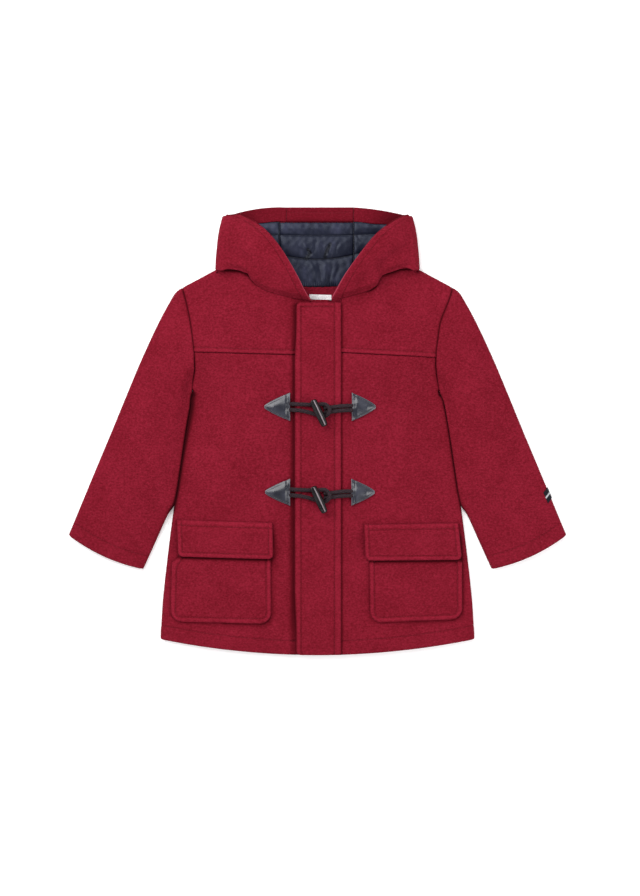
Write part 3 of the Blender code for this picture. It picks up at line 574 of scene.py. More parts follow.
pocket = {"thick": 2.6, "corner": 14.0, "pouch": 2.0, "lift": 0.4, "stitch": 5.8, "full": 0.8, "loose": 0.9}
flap = {"thick": 3.0, "corner": 6.0, "lift": 0.7, "rise": 0.3, "stitch": 5.4, "topStitch": 6.6,
        "full": 0.7, "loose": 0.7}
pocketPlaces = [
    {"name": "Right", "side": -1,
     "pocket": ((-173.6, -128.0), (-56.0, -128.0), (-176.0, -228.0), (-55.2, -230.6)),
     "flap": ((-168.2, -106.0), (-53.6, -109.6), (-166.6, -150.2), (-52.6, -153.2))},
    {"name": "Left", "side": 1,
     "pocket": ((61.8, -128.0), (173.0, -128.0), (62.8, -229.0), (173.4, -225.0)),
     "flap": ((55.6, -111.6), (168.4, -109.8), (57.4, -154.8), (172.8, -154.2))},
]


def outlineOf(place, key):  # a pocket's or a flap's outline as it lies on the coat
    outline = patchOutline(place[key], (pocket if key == "pocket" else flap)["corner"])
    return [(float(narrowed(a, b)), b) for a, b in outline] if key == "pocket" else outline


seamDip = {"depth": 1.0, "width": 1.9, "shade": 0.62, "line": 1.6}
hem = {"turn": 13.0, "ease": 3.0, "full": 0.35, "pull": 0.55, "shade": 0.28, "line": 0.9}
underHood = {"reach": 2.6, "overhang": 2.5, "faint": 0.18, "end": 124.0, -1: (72.0, 83.0), 1: (52.0, 68.0)}
# painted shade: how dark the cloth is painted beside other pieces, and in the valley between a sleeve and the
# side seam
shades = {"placketLeft": 0.56, "placketEdge": 0.06, "placketRight": 0.42, "pocket": 0.22, "flap": 0.18}
underarm = {-1: {"shade": 0.95, "line": 2.6, "opens": 2.6, "haze": 0.25, "reach": 9.0},
            1: {"shade": 0.70, "line": 1.6, "opens": 0.0, "haze": 0.18, "reach": 7.0}}


def contact(x, y):  # painted shade where other pieces lie on the fronts and yokes, and under the hood's lower edge, at true x
    leftAway, rightAway = placket["left"] - x, x - placket["right"]
    wide = 2.0 + 3.0 * soft((120.0 - y) / 260.0)
    below = soft((placket["top"] + 2.0 - y) / 6.0)
    dark = shades["placketLeft"] * (1.0 - soft((leftAway - wide) / 6.0))
    dark = dark * (0.6 + 0.4 * soft((y + 262.0) / 50.0))
    dark = (dark + shades["placketEdge"] * dip(np.maximum(leftAway, 0.0), 1.3)) * (leftAway > -6.0) * below
    dark = dark + shades["placketRight"] * dip(rightAway - 0.6, 1.6) * (rightAway > -2.0) * below
    for place in pocketPlaces:
        for key in ("pocket", "flap"):
            outline = outlineOf(place, key)
            away, beyond = lineDistance(x, y, outline)[0], x > np.mean(outline, 0)[0]
            dark = dark + shades[key] * (dip(away, 1.9) + dip(away - 1.5, 3.0) * beyond)
    shade = dip(np.maximum(underSeam(x, y), 0.0), underHood["reach"]) * (abs(x) < underHood["end"])
    for side in (-1, 1):
        first, last = underHood[side]
        grown = underHood["faint"] + (1.0 - underHood["faint"]) * soft((side * x - first) / (last - first))
        dark = dark + (side * x > 0) * grown * shade
    return -np.minimum(dark, 1.0)


def contactDent(x, y):  # pressed down beside the placket, and swelling up to the hood's seam at the middle
    leftAway = placket["left"] - x
    dent = -1.3 * dip(leftAway - 1.0, 5.0) * (leftAway > -8.0) * soft((placket["top"] - y) / 20.0)
    under = underSeam(x, y)
    for side in (-1, 1):
        first, last = underHood[side]
        swell = (1.0 - soft((side * x - first) / (last - first))) * soft((side * x - 24.0) / 8.0)
        dent = dent + 2.5 * swell * dip(np.maximum(under, 0.0), 7.0) * soft((under + 1.2) / 1.2)
    return dent


def underSeam(x, y):  # how far below the hood's lower edge a point of the yokes lies
    return np.where(x < 0.0, neckLine(-x, -1), neckLine(x, 1)) - underHood["overhang"] - y


def underarmShade(away, y, side):  # painted shade in the valley between a sleeve and the side seam, deeper on the right
    valley = underarm[side]
    line = dip(away, valley["line"] + valley["opens"] * soft((y + 40.0) / 60.0))
    dark = valley["shade"] * line + valley["haze"] * dip(away, valley["reach"])
    return -dark * within(y, (body["underarm"][1] + 4.0, 8.0), (-104.0, 14.0))


def topRows(low, top, coarse, spots, step):  # rows of a panel, close where it rolls over the shoulder
    roll = body["roll"] * 1.13 * (1.0 - np.cos(np.radians(np.arange(90.0, -1.0, -step))))
    return np.concatenate([spread(low, top - roll[0], coarse, spots)[:-1], top - roll])


def turnUp(away, stitch):  # relief of a hem or cuff that is turned up and sewn
    fullness = soft(away / hem["ease"]) * (1.0 - soft((away - hem["turn"]) / hem["ease"]))
    return hem["full"] * fullness - hem["pull"] * stitch


def layRelief(x, y, side):  # troughs and dents of the fronts and yokes
    lying = (pressed(side * x, y, bodyCreases) + drift(side * x, y)) * soft(edgeDistance(x, y) / 12.0)
    return lying + contactDent(side * x, y)


for name, side, innerX in (("Right", -1, body["underFront"]), ("Left", 1, placket["right"] - 0.6)):
    lifted = side > 0
    seamY, top = body["yokeSeam"][side][1], body["shoulderTip"][1]
    hemStart = body["side"][-1][1]
    ys = spread(hemStart, seamY - 0.15, body["coarse"], (hemStart + body["hemStitch"], body["underarm"][1]))
    x, y = bodyGrid(ys, innerX, side, topLine=lambda x: seamLine(x, side), bottomLine=hemY)
    z = frontHeight(x, y, lifted)
    fromHem = y - hemY(x)
    stitch = dip(fromHem - body["hemStitch"], hem["line"])
    arm = np.where(y > body["underarm"][1] - 6.0, armholeX(y) - x, 50.0)
    below = seamLine(x, side) - y
    relief = layRelief(x, y, side) + turnUp(fromHem, stitch) - 0.7 * dip(below, 2.2)
    relief -= seamDip["depth"] * dip(arm, seamDip["width"] * 1.5)
    # painted shade in the hem's sewn line, the armhole and yoke seams, the underarm valley and beside pieces
    # laid on the front
    tone = -hem["shade"] * stitch - seamDip["shade"] * dip(arm, seamDip["line"]) - 0.15 * dip(below, 1.0)
    tone = tone + contact(side * x, y) + underarmShade(sideX(y) - x, y, side)
    points = np.stack([side * x, y, z], -1)
    part = shell(points, body["wall"], relief, tone, (1.4, 1.0, 1.0, 1.0))
    front = makePiece("front" + name, "felt", part)
    ys = topRows(seamY + 0.15, top, body["coarse"], (seamY + 6.0,), 11.25)
    x, y = bodyGrid(ys, innerX, side, topLine=lambda x: shoulderLine(x, neckLine(x, side) - 0.45),
                    bottomLine=lambda x: seamLine(x, side))
    z = frontHeight(x, y, lifted)
    above, arm = y - seamLine(x, side), armholeX(y) - x
    stitch = dip(above - body["yokeStitch"], 0.8)
    relief = layRelief(x, y, side) + 0.9 * (1.0 - soft((above - 3.6) / 2.6)) - 0.3 * stitch
    relief -= seamDip["depth"] * dip(arm, seamDip["width"])
    # painted highlight on the ridge above the yoke seam; painted shade in its sewn line, the seams and beside
    # pieces laid on it
    tone = 0.25 * dip(above - 2.6, 1.6) - 0.3 * stitch - seamDip["shade"] * dip(arm, seamDip["line"])
    tone = tone - 0.1 * dip(above, 0.8) + contact(side * x, y)
    points = np.stack([side * x, y, z], -1)
    part = shell(points, body["wall"], relief, tone, (1.3, 1.0, 1.0, 1.0))
    yoke = makePiece("yoke" + name, "felt", part)
    body["front" + name], body["yoke" + name] = front, yoke

ys = topRows(hemStart, top, 5.0, (hemStart + body["hemStitch"],), 15.0)
x, y = bodyGrid(ys, 0.0, 1, topLine=backTop, bottomLine=hemY, coarse=5.0)
z = body["roll"] * (1.0 - rollSine(edgeDistance(x, y)))
half = np.stack([x, y, z], -1)
points = np.concatenate([half * (-1, 1, 1), half[:, -2::-1]], 1)
middle = points.shape[1] // 2
part = shell(points, body["wall"], 0.0, 0.0, (1.4, 1.0, 1.0, 1.0), lit=middle, down=True)
makePiece("backPanel", "felt", part, node="back")
print("body made")


sleeve = {
    # each row: outer x and y, inner x and y, how far it bows in x and y, height
    "rows": [
        (162.0, 171.6, 146.4, 46.8, -5.2, 0.0, 16.8), (169.0, 166.6, 152.2, 34.0, -4.6, 0.0, 16.8),
        (175.4, 157.2, 155.0, 20.0, -3.4, 0.0, 17.0), (190.9, 128.4, 159.8, -10.0, -1.5, 0.0, 16.5),
        (210.9, 85.2, 164.6, -43.0, 0.0, 0.0, 16.0), (229.0, 42.0, 168.9, -73.0, 0.0, 0.0, 15.5),
        (246.2, 0.0, 172.8, -89.3, 0.0, -1.0, 15.0), (262.6, -39.0, 180.0, -102.0, 0.4, -2.0, 14.5),
        (279.6, -80.0, 194.2, -133.5, 1.2, -3.0, 14.0), (291.6, -109.0, 203.2, -153.4, 2.0, -4.0, 13.2),
        (298.2, -124.8, 208.8, -165.6, 2.4, -5.0, 12.6),
    ],
    "ramp": 45.0, "cuffStitch": 16.8, "hug": 1.1,
}
sleeveCreases = {
    -1: [([(-203.0, 72.0), (-205.0, 40.0), (-199.0, -2.0)], 1.4, 9.0),
         ([(-168.0, 40.0), (-180.0, 10.0), (-186.0, -28.0)], 0.8, 8.0),
         ([(-226.0, 10.0), (-222.0, -20.0), (-228.0, -60.0)], 0.5, 10.0),
         ([(-170.0, 150.0), (-178.0, 120.0), (-184.0, 90.0)], 0.5, 9.0)],
    1: [([(200.0, 52.0), (205.0, 20.0), (214.0, -22.0)], 0.8, 11.0),
        ([(172.0, 36.0), (180.0, 6.0), (190.0, -30.0)], 0.8, 8.0),
        ([(168.0, 150.0), (176.0, 118.0), (178.0, 84.0)], 0.6, 9.0),
        ([(222.0, -40.0), (236.0, -62.0), (252.0, -92.0)], 0.5, 9.0)],
}

turns = np.radians(np.arange(0.0, 91.0, 15.0))
flatSteps = spread(0.06, 0.94, 0.022, (), 0.012, 0.02)
for name, side in sides:
    rows = np.array(sleeve["rows"])
    rows[1:7, 2] -= sleeve["hug"]
    count = len(rows) - 1
    places = np.concatenate([np.linspace(0.0, 0.5, 9)[:-1], np.linspace(0.5, count - 1.2, 110)[:-1],
                             np.linspace(count - 1.2, count, 40)])  # close together by the seam and the cuff
    values = atRows(rows, places)
    start, end, bow = values[:, None, 0:2], values[:, None, 2:4], values[:, None, 4:6]
    width = np.linalg.norm(end - start, axis=2)
    roll = body["roll"]
    first = roll * (1.0 - np.cos(turns)) / width
    overShare = np.concatenate([first, np.tile(flatSteps, (len(width), 1)), 1.0 - first[:, ::-1]], 1)
    overSine = np.concatenate([np.sin(turns), np.ones(len(flatSteps)), np.sin(turns)[::-1]])
    inset = np.minimum(overShare, 1.0 - overShare) * width
    rise = (values[:, 6:7] - 2.0 * roll) * soft((inset - roll) / sleeve["ramp"])
    underShare = overShare[:, -2:0:-1]
    underZ = (roll * (1.0 - overSine))[-2:0:-1] + np.zeros_like(underShare)
    share = np.concatenate([overShare, underShare], 1)
    z = np.concatenate([roll * (1.0 + overSine) + rise, underZ], 1)
    plan = start + (end - start) * share[..., None] + bow * (4.0 * share * (1.0 - share))[..., None]
    points = np.stack([side * plan[..., 0], plan[..., 1], z], -1)
    isTop = np.concatenate([overSine, np.zeros(underShare.shape[1])])
    fromSeam, fromCuff = fromBorders(points)[:2]
    stitch = dip(fromCuff - sleeve["cuffStitch"], hem["line"])
    px, py = points[..., 0], points[..., 1]
    relief = (pressed(px, py, sleeveCreases[side]) + drift(px * side, py, 0.9)) * isTop
    relief = relief * soft(np.concatenate([inset, np.zeros(underShare.shape)], 1) / 12.0)
    relief += (turnUp(fromCuff, stitch) - seamDip["depth"] * dip(fromSeam, 2.6)) * isTop
    # painted shade in the cuff's sewn line, the armhole seam and the underarm valley
    tone = -(hem["shade"] * stitch + seamDip["shade"] * dip(fromSeam, seamDip["line"])) * isTop
    innerAway = np.concatenate([(1.0 - overShare) * width, np.full(underShare.shape, 50.0)], 1)
    tone = tone + underarmShade(innerAway, py, side) * soft(fromSeam / 4.0)
    part = shell(points, body["wall"], relief, tone, (1.0, 1.4, 0.0, 0.0), wraps=True)
    sleeve[name] = makePiece("sleeve" + name, "felt", part)
print("sleeves made")


hood = {
    "names": ("along", "foldX", "foldY", "edgeRight", "edgeLeft", "edgeY", "edgeZ", "radius"),
    "rows": [
        (0.00, 113.6, 258.0, 93.6, 103.0, 259.2, 13.0, 6.2),
        (0.12, 115.2, 251.8, 73.7, 88.0, 248.4, 21.0, 7.8),
        (0.27, 117.3, 243.0, 56.4, 69.5, 234.0, 31.0, 9.5),
        (0.45, 119.4, 231.0, 40.8, 52.5, 216.0, 38.0, 10.0),
        (0.64, 120.8, 217.5, 26.4, 35.0, 195.6, 39.0, 10.0),
        (0.80, 121.8, 206.5, 16.2, 23.2, 177.6, 33.0, 9.8),
        (0.92, 122.2, 199.5, 9.8, 17.6, 164.5, 28.0, 10.0),
        (1.00, 122.4, 194.4, 7.2, 16.8, 157.0, 24.0, 10.0),
    ],
    "drop": 3.2, "cornerDown": 2.0, "topY": 267.9, "bow": {-1: 3.2, 1: 1.6},
    "woolSeams": (-37.2, 43.2), "liningSeams": (-45.5, 43.2),
    "facing": 2.6, "facingWidth": 17.5, "lining": 4.0, "liningWall": 2.4, "overhang": 2.5,
    "stitch": {-1: 10.5, 1: 12.5}, "centreStitch": 6.5, "bandGap": 0.15 / 96.0, "frontRun": 90.0,
}


def hoodValue(name, along):
    names, rows = hood["names"], np.array(hood["rows"])
    places = np.interp(along, rows[:, 0], np.arange(len(rows)))
    return atRows(rows, places)[:, names.index(name)][:, None]


def hoodGrid(side, depth, alongs, lowShares, foldTurns, highShares, seams):
    # rows from brim to neck, columns over the low run, the fold and the high run
    alongs = np.asarray(alongs, float)
    a = alongs[:, None]
    k = 0 if side < 0 else 1
    seamX, seamY = abs(seams[k]), hood["topY"] + (body["neckY"] - hood["topY"]) * a
    radius, foldY = hoodValue("radius", alongs), hoodValue("foldY", alongs)
    turn = hoodValue("foldX", alongs) - radius - 1.2 * np.clip(1.0 - a / 0.06, 0.0, 1.0) ** 2
    edgeX = hoodValue("edgeRight" if side < 0 else "edgeLeft", alongs)
    parts = []
    if len(lowShares):
        t = np.asarray(lowShares)[None, :]
        x = seamX + (turn - seamX) * t
        y = seamY + (foldY - seamY) * t + hood["bow"][side] * 4.0 * t * (1.0 - t) * (1.0 - a) ** 3
        bent = backNeck(x) + body["seam"] - body["neckY"]
        y = y + (bent - (hood["rows"][-1][2] - body["neckY"]) * t) * a ** 3
        parts.append(np.stack([side * x, y, depth + np.zeros_like(x)], -1))
    if len(foldTurns):
        angle = np.asarray(foldTurns)[None, :]
        x = turn + (radius - depth) * np.cos(angle)
        y = foldY - hood["drop"] * (0.5 + 0.5 * np.sin(angle)) * a ** 6
        parts.append(np.stack([side * x, y, radius + (radius - depth) * np.sin(angle)], -1))
    if len(highShares):
        t = np.asarray(highShares)[None, :]
        x = turn + (edgeX - turn) * t
        edgeY = hoodValue("edgeY", alongs) - hood["cornerDown"] * k * soft(1.0 - a / 0.12)
        y = foldY + (edgeY - foldY) * t
        y = y + (neckLine(x, side) - hood["overhang"] - y) * a ** 4
        y = y - hood["drop"] * soft((x - 104.0) / 16.0) * a ** 6
        z = 2.0 * radius + (hoodValue("edgeZ", alongs) - 2.0 * radius) * np.sin(0.5 * math.pi * t)
        parts.append(np.stack([side * x, y, z - depth], -1))
    return np.concatenate(parts, 1)


# Soft folds of the hood's upper layer: path, depth, width.
hoodCreases = {
    -1: [([(-116.0, 202.0), (-100.0, 200.5), (-88.0, 197.0), (-80.0, 190.0)], -1.8, 4.5),
         ([(-114.0, 214.0), (-98.0, 211.0), (-84.0, 204.0), (-72.0, 192.0)], 1.6, 6.5),
         ([(-116.0, 232.0), (-98.0, 228.0), (-78.0, 216.0), (-62.0, 198.0)], -0.9, 7.0),
         ([(-70.0, 186.0), (-52.0, 178.0), (-34.0, 170.0)], 0.7, 6.0),
         ([(-96.0, 248.0), (-84.0, 236.0), (-72.0, 218.0)], 0.6, 7.0)],
    1: [([(118.0, 203.0), (100.0, 201.0), (86.0, 197.0), (78.0, 191.0)], -2.0, 4.5),
        ([(82.0, 191.0), (78.0, 184.0), (74.0, 178.0), (64.0, 173.0)], -1.3, 3.4),
        ([(114.0, 216.0), (96.0, 212.0), (82.0, 202.0), (70.0, 188.0)], 1.7, 6.5),
        ([(114.0, 232.0), (94.0, 226.0), (76.0, 210.0), (62.0, 192.0)], -0.9, 7.0),
        ([(68.0, 184.0), (56.0, 178.0), (42.0, 170.0)], 0.9, 5.0),
        ([(108.0, 244.0), (94.0, 232.0), (80.0, 220.0)], 0.6, 7.0)],
}
liningCreases = [
    ([(-11.5, 217.5), (-8.5, 212.0), (-13.5, 206.5)], 1.8, 1.9),
    ([(15.0, 223.5), (11.5, 216.0), (9.0, 209.0)], 1.8, 1.9),
    ([(-17.0, 226.0), (-13.0, 219.0), (-8.0, 214.0)], -0.9, 1.6),
    ([(-26.0, 222.0), (-18.0, 216.0), (-13.5, 208.0)], 0.7, 1.8),
    ([(4.0, 228.0), (7.0, 219.0), (6.0, 208.0)], 0.8, 2.0),
    ([(19.0, 226.0), (15.0, 217.0), (16.0, 208.0)], -0.9, 1.8),
    ([(-2.0, 230.0), (-3.0, 220.0), (-6.0, 210.0)], 0.7, 2.2),
    ([(27.0, 228.0), (22.0, 219.0), (22.0, 209.0)], 0.7, 2.2),
    ([(-22.0, 203.0), (-13.0, 190.0), (-8.0, 176.0)], 0.9, 2.4),
    ([(-9.0, 204.0), (-3.0, 190.0), (0.0, 175.0)], -0.9, 2.2),
    ([(-1.0, 205.0), (3.0, 192.0), (4.0, 176.0)], 1.0, 2.2),
    ([(9.0, 205.0), (9.5, 192.0), (9.0, 176.0)], -0.8, 2.4),
    ([(19.0, 203.0), (16.0, 190.0), (14.0, 176.0)], 0.9, 2.4),
    ([(28.0, 202.0), (23.0, 190.0), (20.0, 178.0)], 0.7, 2.6),
    ([(-20.0, 247.0), (-12.0, 243.0), (-6.0, 238.0)], 0.5, 2.6),
    ([(2.0, 248.0), (8.0, 243.0), (18.0, 240.0)], 0.6, 2.4),
    ([(22.0, 247.0), (30.0, 243.0), (36.0, 238.0)], 0.5, 2.4),
    ([(-40.0, 246.0), (-34.0, 241.0), (-30.0, 237.0)], 0.5, 2.4),
    ([(-52.0, 240.0), (-49.0, 226.0), (-44.0, 214.0)], 0.9, 2.6),
    ([(46.0, 240.0), (50.0, 230.0), (60.0, 224.0)], 0.9, 2.6),
    ([(46.0, 248.0), (55.0, 241.0), (66.0, 238.0)], 0.7, 2.6),
    ([(44.0, 228.0), (52.0, 218.0), (58.0, 210.0)], 0.7, 2.6),
]


quilt = {
    "lines": [(250.4, 0.0), (234.0, 0.00035), (205.6, 0.0030), (172.4, 0.0)],  # height at the middle, bend
    "full": 2.1, "pull": 0.7, "seamPull": 1.0, "pits": 1.5, "fades": 234.0, "fade": 0.22,
}


def quilting(points, line, full):
    # relief and tone: sewn lines across, fullness between them, folds that run out of the seams. The tone is
    # painted light and shade, lighter on the puffs and darker in the sewn lines, the pits and the hollows; it
    # also makes the lining darker below the second sewn line from the top.
    x, y = points[..., 0], points[..., 1]
    away = np.minimum.reduce([abs(y - (middle + bend * x ** 2)) for middle, bend in quilt["lines"]])
    seams = np.minimum(abs(x - hood["liningSeams"][0]), abs(x - hood["liningSeams"][1]))
    puff = quilt["full"] * (1.0 - np.exp(-(away / 5.0))) * (0.35 + 0.65 * (1.0 - dip(seams, 3.0)))
    puff -= quilt["pull"] * dip(away, 0.8) + quilt["seamPull"] * dip(seams, 0.9)
    gathers = 0.45 * np.sin(x * 2.45 + 0.5 * np.sin(x * 0.7)) * dip(y - 174.0, 3.6)
    crush = 0.14 * np.sin(x * 0.62 + 1.4 * np.sin(y * 0.21)) * np.sin(y * 0.34 + 1.1 * np.sin(x * 0.17))
    pits = sum(dip(lineDistance(x, y, path)[0], 1.8) for path, _, _ in liningCreases[:2])
    relief = puff + gathers + crush + 0.75 * pressed(x, y, liningCreases) - 1.0
    tone = -line * (dip(away, 1.0) + dip(seams, 1.0)) + full * relief - quilt["pits"] * pits
    return relief, tone - quilt["fade"] * soft((quilt["fades"] - y) / 3.0)


def bandDrop(points, share, low):  # the band is wider towards the corners, on the lower layer only
    drop = 2.8 * soft((abs(points[..., 0]) - 44.0) / 28.0) * share[:, None]
    drop[:, low:] = 0.0
    points[..., 1] -= drop


band = hood["facingWidth"] / (hood["topY"] - body["neckY"])
start = body["wall"] + body["seam"]
foldTurns = np.radians(np.arange(-90.0, 90.0, 12.0))
for name, side in sides:
    alongs = spread(0.0, 1.0, 0.022, (), 0.007, 0.02)
    low = spread(0.0, 1.0, 0.045, (), 0.015, 0.02)[:-1]
    high = spread(0.0, 1.0, 0.017, (0.88,), 0.008, 0.02)
    points = hoodGrid(side, 0.0, alongs, low, foldTurns, high, hood["woolSeams"])
    upper = np.concatenate([np.zeros(len(low) + len(foldTurns)), soft(high / 0.12)])
    _, fromNeck, _, fromFront = fromBorders(points)
    px, py = points[..., 0], points[..., 1]
    target = frontHeight(abs(px), py, side > 0) + body["wall"] + 0.4
    inner = 1.0 - soft((abs(px) - 66.0) / 16.0)
    sink = np.maximum(points[..., 2] - target, 0.0) * (0.35 + 0.6 * inner) * (1.0 - soft(fromNeck / 9.0))
    points[..., 2] -= sink * upper
    stitch = dip(fromFront - hood["stitch"][side], 0.9)
    relief = (pressed(px, py, hoodCreases[side]) + drift(px, py) - 0.45 * stitch) * upper
    relief += 0.25 * dip(fromFront - 3.0, 2.5) * upper
    # painted highlight on the fold's lip and along the front edge; painted shade in the sewn line and along
    # the lower edge
    lip = 0.35 * dip(fromNeck - 2.4, 1.8) * soft((abs(px) - 72.0) / 8.0) - 0.4 * dip(fromNeck, 1.1)
    tone = (-0.4 * stitch + 0.9 * dip(fromFront, 1.1) + lip) * upper
    part = shell(points, body["wall"], relief, tone, (1.3, 1.4, 1.0, 1.4))
    hood["side" + name] = makePiece("hoodSide" + name, "felt", part)

    endRow = band - hood["bandGap"]
    alongs = spread(0.0, endRow, 0.014, (), 0.006, 0.012)
    points = hoodGrid(side, start + hood["facing"], alongs, low, foldTurns, high, hood["woolSeams"])
    bandDrop(points, (alongs / endRow) ** 2, len(low))
    # painted shade: the facing darker all over, more so towards the sides
    sideShade = -0.20 * soft((abs(points[..., 0]) - 50.0) / 44.0) - 0.26
    bandPart = shell(points, hood["facing"], 0.0, sideShade, (1.2, 0.6, 0.8, 1.2), lit=0)
    alongs = spread(endRow, 0.85, 0.03, (), 0.01, 0.02)
    shares = 1.0 - hood["facingWidth"] / hood["frontRun"] * (1.0 - spread(0.0, 1.0, 0.1, (), 0.05, 0.1))
    points = hoodGrid(side, start + hood["facing"], alongs, [], [], shares, hood["woolSeams"])
    frontPart = shell(points, hood["facing"], 0.0, 0.0, (0.4, 1.0, 0.6, 1.2), lit=0, down=True)
    makePiece("hoodFacing" + name, "felt", bandPart, frontPart)

    alongs = spread(band + hood["bandGap"], 0.86, 0.016, (), 0.008, 0.02)
    lowFine = spread(0.0, 1.0, 0.018, (), 0.01, 0.02)[:-1]
    shares = spread(0.0, 1.0 - hood["facingWidth"] / hood["frontRun"] - 0.01, 0.05, (), 0.02, 0.02)
    points = hoodGrid(side, start + hood["lining"], alongs, lowFine, foldTurns, shares, hood["liningSeams"])
    bandDrop(points, np.clip(1.0 - (alongs - alongs[0]) / 0.3, 0.0, 1.0) ** 2, len(lowFine))
    lower = np.concatenate([np.ones(len(lowFine)), np.zeros(len(foldTurns) + len(shares))])
    relief, tone = quilting(points, 0.7, 0.10)
    part = shell(points, hood["liningWall"], relief * lower, tone * lower, (0.8, 0.8, 0.6, 0.6), lit=0)
    makePiece("hoodLining" + name, "nylon", part)


def stripGrid(seams, topY, lowY, base, coarse):  # the hood's centre strip between two seams
    xs, ys = spread(seams[0] + 0.05, seams[1] - 0.05, coarse), spread(lowY, topY, coarse)[::-1]
    x, y = np.meshgrid(xs, ys)
    share = (hood["topY"] - y) / (hood["topY"] - body["neckY"])
    y = y + (backNeck(x) - body["neckY"] + body["seam"]) * share ** 3
    return np.stack([x, y, base + np.zeros_like(x)], -1)


points = stripGrid(hood["woolSeams"], hood["topY"], body["neckY"], 0.0, 3.0)
part = shell(points, body["wall"], 0.0, 0.0, (1.3, 1.0, 1.0, 1.0), down=True)
makePiece("hoodCentre", "felt", part)
bandEnd = hood["topY"] - hood["facingWidth"]
points = stripGrid(hood["woolSeams"], hood["topY"], bandEnd + 0.15, start + hood["facing"], 1.4)
px, py = points[..., 0], points[..., 1]
relief = drift(px, py, 0.6) - 0.4 * dip(py - hood["topY"] + hood["centreStitch"], 0.9)
# painted shade: the facing darker all over, more so by its lower edge and beside the right seam
tone = -0.28 - 0.25 * dip(py - bandEnd, 3.0) - 0.25 * dip(hood["woolSeams"][1] - px, 1.2)
part = shell(points, hood["facing"], relief, tone, (1.2, 0.6, 0.9, 0.9))
hood["facingCentre"] = makePiece("hoodFacingCentre", "felt", part)
points = stripGrid(hood["liningSeams"], bandEnd - 0.9, body["neckY"], start + hood["lining"], 0.75)
relief, tone = quilting(points, 0.5, 0.12)
part = shell(points, hood["liningWall"], relief, tone, (0.8, 0.8, 0.6, 0.6))
makePiece("hoodLiningCentre", "nylon", part)
print("hood made")


def patchGrid(corners, radius, coarse=1.5):
    topLeft, topRight, lowLeft, lowRight = (np.array(c, float) for c in corners)
    width, height = np.linalg.norm(topRight - topLeft), np.linalg.norm(topLeft - lowLeft)
    straight = spread(0.0, height - radius, coarse, (6.0,)) / height
    angles = np.radians(np.arange(6.0, 91.0, 6.0))
    down = np.concatenate([straight, 1.0 - radius / height * (1.0 - np.sin(angles))])
    inset = np.concatenate([np.zeros(len(straight)), radius / width * (1.0 - np.cos(angles))])
    across = spread(0.0, width, coarse, (6.0, width - 6.0)) / width
    u = inset[:, None] + (1.0 - 2.0 * inset[:, None]) * across
    upper = topLeft + (topRight - topLeft) * u[..., None]
    lower = lowLeft + (lowRight - lowLeft) * u[..., None]
    plan = upper + (lower - upper) * down[:, None, None]
    return plan[..., 0], plan[..., 1], down[:, None] + 0 * u, np.tile(across, (len(down), 1))


def patchRelief(x, y, away, stitch, kind):  # full between an edge and its sewing, loose inside it
    full = kind["full"] * np.sin(math.pi * np.clip(away / kind["stitch"], 0.0, 1.0))
    return full - 0.45 * stitch + drift(x, y, kind["loose"]) * soft(away / 9.0)


for place in pocketPlaces:
    lifted = place["side"] > 0
    x, y, down, across = patchGrid(place["pocket"], pocket["corner"])
    x = narrowed(x, y)
    bulge = pocket["pouch"] * np.sin(math.pi * across) * np.sin(math.pi * np.minimum(1.0, 0.5 + down / 2.0))
    z = frontHeight(x, y, lifted) + pocket["lift"] + pocket["thick"] + bulge
    away = lineDistance(x, y, outlineOf(place, "pocket"))[0]
    stitch = dip(away - pocket["stitch"], 0.85)
    relief = patchRelief(x, y, away, stitch, pocket)
    flapLow = np.interp(x, *zip(*sorted((place["flap"][2], place["flap"][3]))))
    # painted highlight on the ridge by the edge; painted shade in the sewn line and under the flap
    tone = 0.30 * dip(away - 2.8, 2.0) - 0.42 * stitch - 0.95 * dip(flapLow - y, 2.8)
    part = shell(np.stack([x, y, z], -1), pocket["thick"], relief, tone, (1.2, 1.25, 1.25, 1.25))
    place["pocketPiece"] = makePiece("pocket" + place["name"], "felt", part)
    x, y, down, across = patchGrid(place["flap"], flap["corner"], 1.3)
    over = pocket["thick"] + 1.2 + pocket["pouch"] * np.sin(math.pi * across)
    z = frontHeight(x, y, lifted) + flap["lift"] + over * soft(down / flap["rise"]) + flap["thick"]
    away = lineDistance(x, y, outlineOf(place, "flap"))[0]
    topAway = lineDistance(x, y, place["flap"][:2])[0]
    stitch = np.maximum(dip(away - flap["stitch"], 0.8), dip(topAway - flap["topStitch"], 0.85))
    near = np.minimum(away, topAway)
    relief = patchRelief(x, y, near, stitch, flap)
    # painted highlight on the ridge by the edge; painted shade in the sewn lines
    tone = 0.30 * dip(near - 2.6, 1.8) - 0.40 * stitch
    part = shell(np.stack([x, y, z], -1), flap["thick"], relief, tone, 1.4)
    place["flapPiece"] = makePiece("pocketFlap" + place["name"], "felt", part)

left, right, corner = placket["left"], placket["right"] - 0.15, placket["corner"]
ys = spread(body["hemY"], placket["top"], 2.0, (placket["top"] - 5.0, body["hemY"] + 6.0))
fromTop, fromHem = placket["top"] - ys, ys - body["hemY"]
edge = np.minimum(fromTop, fromHem)
inset = np.where(edge < corner, corner - np.sqrt(np.maximum(corner ** 2 - (corner - edge) ** 2, 0.0)), 0.0)
inset = inset[:, None]
steps = spread(0.0, right - left, 1.6, (placket["stitchLeft"], right - left - placket["stitchRight"]))
x = left + inset + (right - left - inset) * (steps / (right - left))
y = ys[:, None] + (hemY(x) - body["hemY"]) * (1.0 - soft(fromHem / 40.0))[:, None]
z = frontHeight(x, y) + placket["lift"] + placket["thick"]
fromLeft, fromRight = x - left - inset, right - x
stitch = dip(fromLeft - placket["stitchLeft"], 0.85) * soft((placket["top"] - y - 3.0) / 2.0)
stitch = np.maximum(stitch, dip(fromRight - placket["stitchRight"], 0.85))
topRow = dip(placket["top"] - y - placket["stitchTop"], 0.85) * soft((fromLeft - 4.5) / 1.5)
